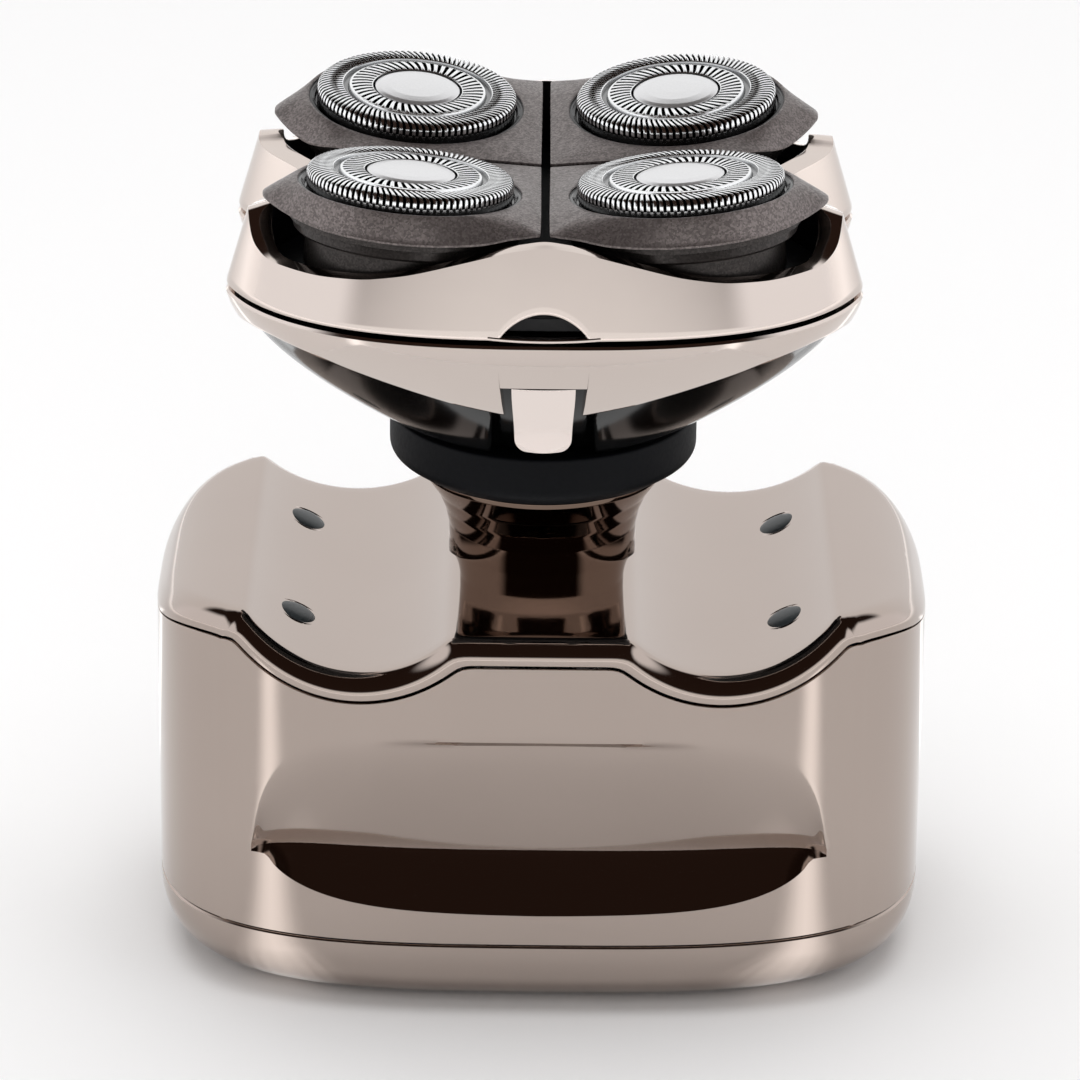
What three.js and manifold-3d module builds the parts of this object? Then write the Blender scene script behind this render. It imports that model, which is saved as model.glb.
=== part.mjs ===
// A palm-held rotary head shaver with four sprung cutting pods.
// Millimetres, +Z up, front towards -Y. The origin is the middle of the flat base.
// From the bottom: base cover, housing, top cover with two finger troughs, neck, collar, head.
// The head's upper half, the blade frame, opens on a hinge at the back to be rinsed.

import * as THREE from 'three';
import { mergeVertices } from 'three/addons/utils/BufferGeometryUtils.js';
import Module from 'manifold-3d';

const wasm = await Module();
wasm.setup();

// ---- Clearances -------------------------------------------------------------------------
const GAP = 0.3; // between pieces that touch
const RUN = 0.5; // round a piece that moves
const REACH = 60; // how far a cutting tool stands past what it cuts

// ---- Handle body ------------------------------------------------------------------------
const BODY_HALF_WIDTH = 43; // along X
const BODY_HALF_DEPTH = 29.5; // along Y
const BODY_POWER = 3.2; // how square the rounded plan is
const BODY_WALL = 2;
const BASE_ROUND = 7.5; // radius round the bottom edge
const BASE_SPLIT = 8.5; // height of the joint between base cover and housing
const FLOOR = 2; // thickness of the base cover's floor
const DECK_TOP = 44.7; // flat deck that carries the neck
const RIDGE_TOP = 45.5; // crest outside each finger trough
const SHOULDER_LOW = 40; // where the shoulder meets the side
const TROUGH_RADIUS = 15;
const TROUGH_BOTTOM = 40;
const TROUGH_X = 20.6; // middle of each trough
const CAP_DEPTH = 2.8; // top cover's edge, measured down from the deck surface
const SCOOP = { halfWidth: 31.5, low: 13, high: 33, depth: 4.8 }; // finger scoop at the front

// ---- Neck, collar and drive -------------------------------------------------------------
const NECK_RADIUS = 10.5;
const NECK_BORE = 8.3;
const NECK_LIP_RADIUS = 13.6; // trumpet mouth under the collar
const NECK_LIP_TOP = 54.6;
const SPIGOT_RADIUS = 9.5; // stands up inside the collar and centres it
const SPIGOT_TOP = 58;
const COLLAR_RADIUS = 17.1;
const COLLAR_TOP = 61.2;
const SHAFT_RADIUS = 1.5;
const COUPLING_RADIUS = 3.4; // across the corners of the hexagon
const COUPLING_LOW = 53.5;
const COUPLING_HIGH = 58.6;
const MOTOR_RADIUS = 11.2;
const MOTOR_TOP = 32;

// ---- Head -------------------------------------------------------------------------------
const HEAD_HALF_WIDTH = 36.2; // of the plan before the side waists
const HEAD_HALF_DEPTH = 31.2;
const HEAD_POWER = 2.65;
const WAIST_DEPTH = 7.5; // hollow in each side, between front and rear pods
const WAIST_HALF_LENGTH = 15;
const HEAD_LOW = 61.5;
const HEAD_LOW_RADIUS = 18;
const HEAD_SPLIT = 79.9; // joint between the lower head and the blade frame
const HEAD_FLARE = 1.6; // how quickly the bowl opens out
const SHELL_WALL = 2;
const SKIRT_WALL = 1;
const RIM_WALL = 1.6;
const RIM_LEAN = 0.27; // inward per millimetre of height
const TONGUE = { halfWidth: 3.4, low: 65.8, high: 73.7, slit: 1.5, travel: 1.1 };
const TONGUE_SWEEP = 2.3; // how far its lower end lies behind its root
const HINGE_Y = 31.8;
const HINGE_Z = 80;
const HINGE_PIN_RADIUS = 0.8;
const HINGE_HALF_LENGTH = 6;

// ---- Pods, guards, cutters and gears ----------------------------------------------------
const POD_PITCH = 28.8; // between neighbouring pods
const POD_TOP = 93.3; // height of the middle of each guard
const POD_TILT = 4.5; // degrees towards the middle, about X and about Y
const POD_GAP = 0.9; // between neighbouring pods
const PIVOT_DEPTH = 9.3; // of the pod's tilt axis below its guard
const GUARD_RADIUS = 11.1;
const CAP_RADIUS = 4.8;
const CUTTER_RADIUS = 9.3;
const BLADE_COUNT = 6;
const PLATE_TOP = -2.4; // heights inside a pod are below the guard's face
const PLATE_THICK = 1.4;
const BOOT_RADIUS = 13.3;
const BOOT_LOW = -6.4;
const SLEEVE_RADIUS = 10.8;
const SLEEVE_LOW = -10.6;
const POD_BORE = 10;
const TRAY_LOW = 80.5;
const TRAY_THICK = 1.2;
const GEAR_LOW = 75.5;
const GEAR_HIGH = 77;
const CENTRE_TEETH = 28;
const OUTER_TEETH = 16;
const DRIVE_PIN_RADIUS = 1.6;
const DRIVE_PIN_TOP = 84.6;
const DRIVE_SQUARE = 2.2;
const SOCKET_SQUARE = 3.3;
const PLATE_LOW = 77.4; // gear plate
const PLATE_HIGH = 79.2;

// ---- Fittings ---------------------------------------------------------------------------
const SCREW_X = 30;
const SCREW_Y = 13;
const SCREW_RADIUS = 1.2;
const SCREW_HEAD_RADIUS = 2.3;
const SCREW_TOP = 15;
const SCREW_HEAD_LOW = 0.8;
const SCREW_HEAD_HEIGHT = 1.6;
const BOSS_RADIUS = 3.4;
const BOSS_TOP = 20;
const BUTTON_RADIUS = 5.8;
const BUTTON_Z = 26;
const BUTTON_STROKE = 0.8;
const DISPLAY_Z = 36;
const DISPLAY_HALF = { x: 4.5, z: 1.6 };
const SOCKET_Z = 14;
const SOCKET_HALF = { x: 4.5, z: 1.7 };
const CELL_RADIUS = 6.8;
const CELL_LENGTH = 42;
const CELL_X = 19;
const CHASSIS_LOW = 3.6;
const CHASSIS_THICK = 1.7;
const BOARD_Y = 22.4;
const BOARD_THICK = 1.2;
const PAD = { x: 26.9, y: 13.5, radius: 2.4, high: 0.3, deep: 0.8 };

// ---- Values that follow from the sizes above --------------------------------------------
const troughAxisZ = TROUGH_BOTTOM + TROUGH_RADIUS;
const deckEdgeX = TROUGH_X - Math.sqrt(TROUGH_RADIUS ** 2 - (troughAxisZ - DECK_TOP) ** 2);
const ridgeX = TROUGH_X + Math.sqrt(TROUGH_RADIUS ** 2 - (troughAxisZ - RIDGE_TOP) ** 2);
const podCentre = POD_PITCH / 2;
const podSlope = Math.tan(THREE.MathUtils.degToRad(POD_TILT));
const gearOffset = podCentre + podSlope * PIVOT_DEPTH;
const gearDistance = gearOffset * Math.SQRT2;
const gearModule = (2 * gearDistance) / (CENTRE_TEETH + OUTER_TEETH);
const rearFace = BODY_HALF_DEPTH;
const motorLow = CHASSIS_LOW + CHASSIS_THICK + GAP;

// ---- Colours and finishes ---------------------------------------------------------------
const FINISH = {
  bronzeChrome: { color: 0xa89a91, roughness: 0.08, metalness: 1 },
  paleChrome: { color: 0xc6bab2, roughness: 0.12, metalness: 1 },
  darkChrome: { color: 0x4a3a33, roughness: 0.08, metalness: 1 },
  podPaint: { color: 0x4b4546, roughness: 0.45, metalness: 0.7 },
  steel: { color: 0xc9ccd0, roughness: 0.2, metalness: 1 },
  glossBlack: { color: 0x0b0b0c, roughness: 0.08, metalness: 0 },
  mattBlack: { color: 0x15161b, roughness: 0.7, metalness: 0 },
  rubber: { color: 0x1b1d20, roughness: 0.6, metalness: 0 },
  nylon: { color: 0xe6e4dc, roughness: 0.5, metalness: 0 },
  cell: { color: 0x3f6ea8, roughness: 0.4, metalness: 0 },
  board: { color: 0x1f5a3a, roughness: 0.5, metalness: 0 },
  lens: { color: 0x14161a, roughness: 0.05, metalness: 0 },
};

// ---- Solids -----------------------------------------------------------------------------

/** A closed geometry as a solid, with its shared vertices merged. */
function solid(geometry) {
  const bare = geometry.clone();
  bare.deleteAttribute('normal');
  bare.deleteAttribute('uv');
  const merged = mergeVertices(bare, 1e-4);
  const mesh = new wasm.Mesh({
    numProp: 3,
    vertProperties: new Float32Array(merged.attributes.position.array),
    triVerts: new Uint32Array(merged.index.array),
  });
  mesh.merge();
  return new wasm.Manifold(mesh);
}

/** A solid back as a geometry. */
function geometryOf(body) {
  const mesh = body.getMesh();
  const geometry = new THREE.BufferGeometry();
  geometry.setAttribute('position', new THREE.BufferAttribute(mesh.vertProperties, 3));
  geometry.setIndex(new THREE.BufferAttribute(mesh.triVerts, 1));
  geometry.computeVertexNormals();
  return geometry;
}

/** Several solids joined. */
function join(first, ...others) {
  return others.reduce((sum, other) => sum.add(other), first);
}

/** The first solid with the others cut out of it. */
function cut(first, ...others) {
  return others.reduce((rest, other) => rest.subtract(other), first);
}

/** A box between two corners. */
function box(x0, x1, y0, y1, z0, z1) {
  const geometry = new THREE.BoxGeometry(x1 - x0, y1 - y0, z1 - z0);
  return solid(geometry.translate((x0 + x1) / 2, (y0 + y1) / 2, (z0 + z1) / 2));
}

/** A flat outline carried straight up from z0 to z1. */
function prism(shape, z0, z1, curveSegments = 8) {
  const geometry = new THREE.ExtrudeGeometry(shape, {
    depth: z1 - z0, bevelEnabled: false, curveSegments,
  });
  return solid(geometry.translate(0, 0, z0));
}

/** An outline drawn in X and Z, carried along Y from y0 to y1. */
function slab(shape, y0, y1, curveSegments = 8) {
  const geometry = new THREE.ExtrudeGeometry(shape, {
    depth: y1 - y0, bevelEnabled: false, curveSegments,
  });
  return solid(geometry.rotateX(Math.PI / 2).translate(0, y1, 0));
}

/** A profile of [radius, z] points turned about Z. A ring's profile closes on itself. */
function turned(profile, segments = 32) {
  const closed = profile.every(([radius]) => radius > 0);
  const points = profile.map(([radius, z]) => new THREE.Vector2(radius, z));
  if (closed) points.push(points[0].clone());
  return solid(new THREE.LatheGeometry(points, segments).rotateX(Math.PI / 2));
}

/** A cylinder from z0 to z1 about (x, y). */
function rod(radius, z0, z1, x = 0, y = 0, segments = 24) {
  const geometry = new THREE.CylinderGeometry(radius, radius, z1 - z0, segments);
  return solid(geometry.rotateX(Math.PI / 2).translate(x, y, (z0 + z1) / 2));
}

/** A cylinder along Y from y0 to y1 about (x, z). */
function rodY(radius, y0, y1, x, z, segments = 24) {
  const geometry = new THREE.CylinderGeometry(radius, radius, y1 - y0, segments);
  return solid(geometry.translate(x, (y0 + y1) / 2, z));
}

/** A cylinder along X from x0 to x1 about (y, z). */
function rodX(radius, x0, x1, y, z, segments = 16) {
  const geometry = new THREE.CylinderGeometry(radius, radius, x1 - x0, segments);
  return solid(geometry.rotateZ(Math.PI / 2).translate((x0 + x1) / 2, y, z));
}

/**
 * A lathe whose rings are drawn out to an outline: place(angle, point) gives each
 * profile point's [radius, z] at each angle. A null point lies on the axis.
 */
function drawnLathe(profile, place, segments, closed) {
  const points = closed ? [...profile, profile[0]] : profile;
  const flat = points.map((point, row) => new THREE.Vector2(point.onAxis ? 0 : 1, row));
  const geometry = new THREE.LatheGeometry(flat, segments);
  const position = geometry.attributes.position;
  for (let index = 0; index < position.count; index += 1) {
    const step = Math.floor(index / points.length);
    const point = points[index % points.length];
    const angle = (step / segments) * 2 * Math.PI;
    const [radius, z] = place(angle, point);
    const reach = point.onAxis ? 0 : radius;
    position.setXYZ(index, reach * Math.cos(angle), reach * Math.sin(angle), z);
  }
  return solid(geometry);
}

// ---- Handle body ------------------------------------------------------------------------

/** Radius at an angle of the rounded, nearly square outline with these half sizes. */
function roundedSquare(angle, halfX, halfY, power) {
  const x = Math.abs(Math.cos(angle) / halfX) ** power;
  const y = Math.abs(Math.sin(angle) / halfY) ** power;
  return (x + y) ** (-1 / power);
}

/** The handle's outline drawn in by a distance, over heights with a rounded bottom edge. */
function bodyBlock(inset, low, segments = 40) {
  const round = BASE_ROUND - Math.min(inset, BASE_ROUND - 1);
  const steps = 3;
  const profile = [{ onAxis: true, z: low }];
  for (let step = 0; step <= steps; step += 1) {
    const turn = (step / steps) * Math.PI / 2;
    profile.push({
      inset: inset + round * (1 - Math.sin(turn)),
      z: low + round * (1 - Math.cos(turn)),
    });
  }
  profile.push({ inset, z: RIDGE_TOP + REACH });
  profile.push({ onAxis: true, z: RIDGE_TOP + REACH });
  const place = (angle, point) => [
    roundedSquare(angle, BODY_HALF_WIDTH - point.inset, BODY_HALF_DEPTH - point.inset, BODY_POWER),
    point.z,
  ];
  return drawnLathe(profile, place, segments, false);
}

/** Everything under the deck surface lowered by a distance, as a block along Y. */
function underDeck(drop) {
  const shape = new THREE.Shape();
  const radius = TROUGH_RADIUS + drop;
  const deck = DECK_TOP - drop;
  const ridge = RIDGE_TOP - drop;
  const deckX = TROUGH_X - Math.sqrt(radius ** 2 - (troughAxisZ - deck) ** 2);
  const crestX = TROUGH_X + Math.sqrt(radius ** 2 - (troughAxisZ - ridge) ** 2);
  const from = Math.atan2(deck - troughAxisZ, deckX - TROUGH_X);
  const to = Math.atan2(ridge - troughAxisZ, crestX - TROUGH_X);
  const side = BODY_HALF_WIDTH + 1;
  const edge = SHOULDER_LOW - Math.min(drop, 0.5);
  shape.moveTo(-side, -REACH);
  shape.lineTo(side, -REACH);
  shape.lineTo(side, edge - 1);
  shape.quadraticCurveTo(BODY_HALF_WIDTH - 1, ridge, crestX + 1.2, ridge);
  shape.absarc(TROUGH_X, troughAxisZ, radius, to, from, true);
  shape.lineTo(-deckX, deck);
  shape.absarc(-TROUGH_X, troughAxisZ, radius, Math.PI - from, Math.PI - to, true);
  shape.lineTo(-crestX - 1.2, ridge);
  shape.quadraticCurveTo(-BODY_HALF_WIDTH + 1, ridge, -side, edge - 1);
  return slab(shape, -REACH, REACH, 5);
}

/** The front finger scoop as a flattened ball, grown by a wall. */
function scoopBall(grow) {
  const inside = 0.37; // share of the ball's depth that lies outside the face
  const full = SCOOP.depth / (1 - inside);
  const wide = Math.sqrt(1 - inside ** 2);
  const middle = (SCOOP.low + SCOOP.high) / 2;
  const ball = new THREE.SphereGeometry(1, 16, 8);
  ball.rotateX(Math.PI / 2);
  ball.scale(
    SCOOP.halfWidth / wide + grow,
    full + grow,
    (SCOOP.high - SCOOP.low) / 2 / wide + grow,
  );
  return solid(ball.translate(0, -BODY_HALF_DEPTH - full * inside, middle));
}

/** Round and stadium holes through the rear wall for the button, display and socket. */
function rearHoles(grow) {
  const low = rearFace - 2 * BODY_WALL - 1;
  return [
    rodY(BUTTON_RADIUS + RUN + 1 + grow, low, REACH, 0, BUTTON_Z),
    slab(stadium(DISPLAY_HALF.x + grow, DISPLAY_HALF.z + grow, DISPLAY_Z), low, REACH),
    slab(stadium(SOCKET_HALF.x + grow, SOCKET_HALF.z + grow, SOCKET_Z), low, REACH),
  ];
}

/** A stadium outline in X and Z, round at both ends. */
function stadium(halfX, halfZ, z, middle = 0) {
  const shape = new THREE.Shape();
  const straight = halfX - halfZ;
  shape.absarc(middle + straight, z, halfZ, -Math.PI / 2, Math.PI / 2, false);
  shape.absarc(middle - straight, z, halfZ, Math.PI / 2, 1.5 * Math.PI, false);
  return shape;
}

/** The whole handle skin, before it is parted into base cover, housing and top cover. */
function handleSkin() {
  const outer = cut(bodyBlock(0, 0).intersect(underDeck(0)), scoopBall(0));
  const hollow = cut(
    bodyBlock(BODY_WALL, FLOOR).intersect(underDeck(BODY_WALL)),
    scoopBall(BODY_WALL),
  );
  return cut(outer, hollow);
}

const skin = handleSkin();

/** Each corner screw's place. */
function screwPlaces() {
  return [[-1, -1, 'front_left'], [1, -1, 'front_right'], [-1, 1, 'rear_left'], [1, 1, 'rear_right']];
}

/** Shallow tray that closes the bottom, with a pillar round each screw. */
function bottomCover() {
  const top = BASE_SPLIT - GAP / 2;
  let body = skin.intersect(box(-REACH, REACH, -REACH, REACH, -1, top));
  for (const [sx, sy] of screwPlaces()) {
    const x = sx * SCREW_X;
    const y = sy * SCREW_Y;
    body = join(body, rod(BOSS_RADIUS, FLOOR / 2, top, x, y, 16));
    body = cut(body, rod(SCREW_RADIUS + GAP, -1, top + 1, x, y, 12));
    const recess = SCREW_HEAD_LOW + SCREW_HEAD_HEIGHT + GAP;
    body = cut(body, rod(SCREW_HEAD_RADIUS + GAP, -1, recess, x, y, 16));
  }
  return body;
}

/** Middle band of the handle, with the scoop, the rear holes and the screw bosses. */
function housing() {
  const low = BASE_SPLIT + GAP / 2;
  const band = box(-REACH, REACH, -REACH, REACH, low, REACH).intersect(underDeck(CAP_DEPTH));
  let body = cut(skin.intersect(band), ...rearHoles(GAP));
  for (const [sx, sy] of screwPlaces()) {
    const x = sx * SCREW_X;
    const y = sy * SCREW_Y;
    const wall = sx * (BODY_HALF_WIDTH - BODY_WALL);
    const web = box(Math.min(x, wall), Math.max(x, wall), y - 1, y + 1, low, BOSS_TOP);
    body = join(body, rod(BOSS_RADIUS, low, BOSS_TOP, x, y, 16), web);
    body = cut(body, rod(SCREW_RADIUS + GAP, 0, SCREW_TOP + 1, x, y, 12));
  }
  return body;
}

/** Top cover with the two finger troughs, the deck and the hole for the neck. */
function topCover() {
  const lid = cut(skin, underDeck(CAP_DEPTH - GAP));
  const sockets = padPlaces().map(([sx, sy]) => padSolid(sx, sy, GAP));
  return cut(lid, rod(NECK_RADIUS + GAP, 0, REACH, 0, 0, 28), ...sockets);
}

/** Signs and names of the four grip pads. */
function padPlaces() {
  return screwPlaces();
}

/** One grip pad: a low disc square to the trough's slope, grown by a clearance. */
function padSolid(sx, sy, grow) {
  const slope = Math.asin((PAD.x - TROUGH_X) / TROUGH_RADIUS);
  const disc = new THREE.CylinderGeometry(PAD.radius + grow, PAD.radius + grow,
    PAD.high + PAD.deep + 2 * grow, 16);
  disc.rotateX(Math.PI / 2);
  disc.translate(0, 0, (PAD.high - PAD.deep) / 2);
  disc.rotateY(-sx * slope);
  const z = troughAxisZ - TROUGH_RADIUS * Math.cos(slope);
  return solid(disc.translate(sx * PAD.x, sy * PAD.y, z));
}

// ---- Neck and collar --------------------------------------------------------------------

/** Trumpet-shaped neck with the spigot that the collar slides over. */
function neckSleeve() {
  return turned([
    [NECK_BORE, DECK_TOP - 4],
    [NECK_RADIUS, DECK_TOP - 4],
    [NECK_RADIUS, 47.5],
    [10.9, 49.3],
    [11.8, 51.2],
    [NECK_LIP_RADIUS, 53.8],
    [NECK_LIP_RADIUS, NECK_LIP_TOP],
    [SPIGOT_RADIUS, NECK_LIP_TOP],
    [SPIGOT_RADIUS, SPIGOT_TOP],
    [NECK_BORE, SPIGOT_TOP],
  ], 28);
}

/** Plain ring between two radii and two heights. */
function ring(inner, outer, low, high, segments = 20) {
  return turned([[inner, low], [outer, low], [outer, high], [inner, high]], segments);
}

/** Soft collar between the neck and the head, rounded under its edge. */
function collar() {
  const low = NECK_LIP_TOP + GAP;
  const bore = SPIGOT_RADIUS + RUN;
  return turned([
    [bore, low],
    [COLLAR_RADIUS - 2.6, low],
    [COLLAR_RADIUS - 0.8, low + 0.9],
    [COLLAR_RADIUS, low + 2.7],
    [COLLAR_RADIUS, COLLAR_TOP],
    [bore, COLLAR_TOP],
  ], 28);
}

/** Motor can: a turned body with a bore that the shaft runs in. */
function motorCan() {
  const bore = SHAFT_RADIUS + GAP;
  return turned([
    [bore, motorLow],
    [MOTOR_RADIUS - 1, motorLow],
    [MOTOR_RADIUS, motorLow + 1],
    [MOTOR_RADIUS, MOTOR_TOP - 1],
    [MOTOR_RADIUS - 1, MOTOR_TOP],
    [4, MOTOR_TOP],
    [4, MOTOR_TOP + 2],
    [bore, MOTOR_TOP + 2],
  ], 20);
}

/** Hexagonal dog on top of the shaft, which drops into the head's socket. */
function driveCoupling() {
  const dog = rod(COUPLING_RADIUS, COUPLING_LOW, COUPLING_HIGH, 0, 0, 6);
  return cut(dog, rod(SHAFT_RADIUS + GAP, COUPLING_LOW - 1, COUPLING_HIGH - 1.5, 0, 0, 12));
}

// ---- Inside the handle ------------------------------------------------------------------

/** Moulded tray that holds the motor and the two cells. */
function chassis() {
  const top = CHASSIS_LOW + CHASSIS_THICK;
  const halfX = SCREW_X - BOSS_RADIUS - 2 * RUN;
  const halfY = CELL_LENGTH / 2 + 2;
  const plate = box(-halfX, halfX, -halfY, halfY - 2, CHASSIS_LOW, top);
  const cup = ring(MOTOR_RADIUS + GAP, MOTOR_RADIUS + GAP + 0.7, top - 1, top + 6);
  let body = join(plate, cup);
  for (const side of [-1, 1]) {
    const x = side * CELL_X;
    const stop = box(x - 4, x + 4, -halfY, -halfY + 1.4, top - 1, top + 8);
    body = join(body, stop);
  }
  return body;
}

/** One battery cell lying front to back, with its raised contact. */
function batteryCell(side) {
  const low = -CELL_LENGTH / 2 - 0.3;
  const z = CHASSIS_LOW + CHASSIS_THICK + GAP + CELL_RADIUS;
  const x = side * CELL_X;
  const can = rodY(CELL_RADIUS, low, low + CELL_LENGTH, x, z, 20);
  return join(can, rodY(2, low + CELL_LENGTH - 0.5, low + CELL_LENGTH + 1, x, z, 12));
}

/** Upright circuit board behind the button, with its chip. */
function circuitBoard() {
  const board = box(-14, 14, BOARD_Y, BOARD_Y + BOARD_THICK, BASE_SPLIT + 1, 39);
  return join(board, box(-4, 4, BOARD_Y - 1.6, BOARD_Y + 0.2, 17.5, 22.5));
}

// ---- Rear fittings ----------------------------------------------------------------------

/** Round power button with a stem that reaches the board's switch. */
function powerButton() {
  const face = rearFace + 0.4;
  const head = rodY(BUTTON_RADIUS, rearFace - 2, face, 0, BUTTON_Z);
  const stem = rodY(1.5, BOARD_Y + BOARD_THICK + BUTTON_STROKE + GAP, rearFace - 1, 0, BUTTON_Z, 12);
  return join(head, stem);
}

/** Bright ring round the button. */
function buttonRing() {
  const outer = rodY(BUTTON_RADIUS + RUN + 1, rearFace - 1.8, rearFace + 0.2, 0, BUTTON_Z);
  return cut(outer, rodY(BUTTON_RADIUS + RUN, rearFace - 3, rearFace + 1, 0, BUTTON_Z));
}

/** Dark window over the charge lights. */
function displayLens() {
  return slab(stadium(DISPLAY_HALF.x, DISPLAY_HALF.z, DISPLAY_Z), rearFace - 1.8, rearFace - 0.1);
}

/** Charging inlet: a stadium shell open to the rear, with a tongue inside. */
function chargingSocket() {
  const low = BOARD_Y + BOARD_THICK + GAP;
  const high = rearFace - 0.2;
  const shell = slab(stadium(SOCKET_HALF.x, SOCKET_HALF.z, SOCKET_Z), low, high);
  const hollow = slab(stadium(SOCKET_HALF.x - 0.5, SOCKET_HALF.z - 0.5, SOCKET_Z), low + 1, high + 1);
  const blade = box(-2.6, 2.6, low + 0.5, high - 1, SOCKET_Z - 0.35, SOCKET_Z + 0.35);
  return join(cut(shell, hollow), blade);
}

/** Pan-head base screw with a cross recess. */
function baseScrew(x, y) {
  const low = SCREW_HEAD_LOW;
  const head = rod(SCREW_HEAD_RADIUS, low, low + SCREW_HEAD_HEIGHT, x, y, 16);
  const shank = rod(SCREW_RADIUS, low + 0.5, SCREW_TOP, x, y, 12);
  const slotA = box(x - 1.3, x + 1.3, y - 0.3, y + 0.3, low - 1, low + 0.8);
  const slotB = box(x - 0.3, x + 0.3, y - 1.3, y + 1.3, low - 1, low + 0.8);
  return cut(join(head, shank), slotA, slotB);
}

// ---- Head shells ------------------------------------------------------------------------

/** Degrees off the nearest of front or rear, 0 to 90. */
function offCentre(angle) {
  return THREE.MathUtils.radToDeg(Math.atan2(Math.abs(Math.cos(angle)), Math.abs(Math.sin(angle))));
}

/** Smooth line through [degrees, value] marks. */
function wave(marks, degrees) {
  const last = marks.length - 1;
  let span = 0;
  while (span < last - 1 && degrees > marks[span + 1][0]) span += 1;
  const [d0, v0] = marks[span];
  const [d1, v1] = marks[span + 1];
  return v0 + (v1 - v0) * THREE.MathUtils.smoothstep(degrees, d0, d1);
}

/** Height of the rim's top edge, which dips under each pod and rises at the ears. */
const RIM_TOP = [[0, 89.7], [36, 85.5], [58, 85.5], [68, 89.5], [90, 88.4]];

/** Height of the skirt's lower edge. */
const SKIRT_LOW = [[0, 69.4], [54, 75.4], [90, 73]];

/** The head's plan radius at the joint, drawn in by a distance. */
function headPlan(angle, inset) {
  const radius = roundedSquare(angle, HEAD_HALF_WIDTH - inset, HEAD_HALF_DEPTH - inset, HEAD_POWER);
  const along = Math.min(Math.abs(radius * Math.sin(angle)) / WAIST_HALF_LENGTH, 1);
  const waist = WAIST_DEPTH * Math.cos(along * Math.PI / 2) ** 2;
  return radius - waist * Math.abs(Math.cos(angle));
}

/** The head's outer radius at an angle and height: a bowl below the joint, a lean above. */
function headRadius(angle, z, inset) {
  if (z >= HEAD_SPLIT) return headPlan(angle, inset + RIM_LEAN * (z - HEAD_SPLIT));
  const share = Math.max((z - HEAD_LOW) / (HEAD_SPLIT - HEAD_LOW), 0);
  const open = 1 - (1 - share) ** HEAD_FLARE;
  return HEAD_LOW_RADIUS - inset + (headPlan(angle, inset) - HEAD_LOW_RADIUS + inset) * open;
}

/** A ring whose section has an outer and an inner line, each from low to high. */
function headRing(low, high, outerInset, wall, steps, segments) {
  const profile = [];
  for (let step = 0; step <= steps; step += 1) profile.push({ share: step / steps, inset: outerInset });
  for (let step = steps; step >= 0; step -= 1) {
    profile.push({ share: step / steps, inset: outerInset + wall });
  }
  const place = (angle, point) => {
    const z = low(angle) + (high(angle) - low(angle)) * point.share;
    return [headRadius(angle, z, point.inset), z];
  };
  return drawnLathe(profile, place, segments, true);
}

/** Front tongue's space: a box down the front of the skirt, grown by a clearance. */
function tongueBox(grow) {
  return box(-TONGUE.halfWidth - grow, TONGUE.halfWidth + grow, -REACH, -10,
    TONGUE.low - grow, TONGUE.high + Math.min(grow, GAP));
}

/** Glossy bowl under the head, open at the top, with a pocket behind the tongue. */
function headShell() {
  const inset = SKIRT_WALL + GAP;
  const bowl = headRing(() => HEAD_LOW, () => HEAD_SPLIT - 0.4, inset, SHELL_WALL, 3, 40);
  const floor = ring(NECK_BORE, HEAD_LOW_RADIUS - inset - 0.5, HEAD_LOW, HEAD_LOW + SHELL_WALL, 28);
  const layer = headRing(() => HEAD_LOW, () => HEAD_SPLIT, -1, TONGUE.travel + 1 + inset, 3, 40);
  return cut(join(bowl, floor), layer.intersect(tongueBox(TONGUE.slit)));
}

/** Bright skirt over the bowl, slit at the front for the tongue, with the hinge lugs. */
function headSkirt() {
  const low = (angle) => wave(SKIRT_LOW, offCentre(angle));
  const top = HEAD_SPLIT - 0.4;
  const shell = headRing(low, () => top, 0, SKIRT_WALL, 2, 40);
  const lugs = [-1, 1].map((side) => hingeLug(side, 3.3, HINGE_HALF_LENGTH, top));
  const swing = rodX(2.2, -3.3, 3.3, HINGE_Y, HINGE_Z);
  const bore = rodX(HINGE_PIN_RADIUS + GAP, -REACH, REACH, HINGE_Y, HINGE_Z);
  return cut(join(shell, ...lugs), tongueBox(TONGUE.slit), swing, bore);
}

/** A hinge lug on one side: an eye round the pin and a foot that reaches the skirt. */
function hingeLug(side, near, far, top) {
  const x0 = Math.min(side * near, side * far);
  const x1 = Math.max(side * near, side * far);
  const eye = rodX(1.7, x0, x1, HINGE_Y, HINGE_Z);
  return join(eye, box(x0, x1, HINGE_Y - 1.8, HINGE_Y + 0.6, HINGE_Z - 3.6, top - 0.4));
}

/** Front tongue: leaves the skirt along its slope and curves to upright at its lower end. */
function releaseTongue() {
  const root = -headRadius(-Math.PI / 2, TONGUE.high, 0);
  const steps = 6;
  const height = TONGUE.high - TONGUE.low;
  const line = [];
  for (let step = 0; step <= steps; step += 1) {
    const share = step / steps;
    line.push([root + TONGUE_SWEEP * (1 - (1 - share) ** 2), TONGUE.high - height * share]);
  }
  const behind = line.map(([y, z]) => [y + SKIRT_WALL, z]).reverse();
  const shape = new THREE.Shape([...line, ...behind].map(([y, z]) => new THREE.Vector2(y, z)));
  const strip = new THREE.ExtrudeGeometry(shape, {
    depth: 2 * TONGUE.halfWidth, bevelEnabled: false,
  });
  const [alongX, alongY, alongZ] = [0, 1, 2].map((axis) => new THREE.Vector3().setComponent(axis, 1));
  strip.applyMatrix4(new THREE.Matrix4().makeBasis(alongY, alongZ, alongX));
  return solid(strip.translate(-TONGUE.halfWidth, 0, 0));
}

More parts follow.
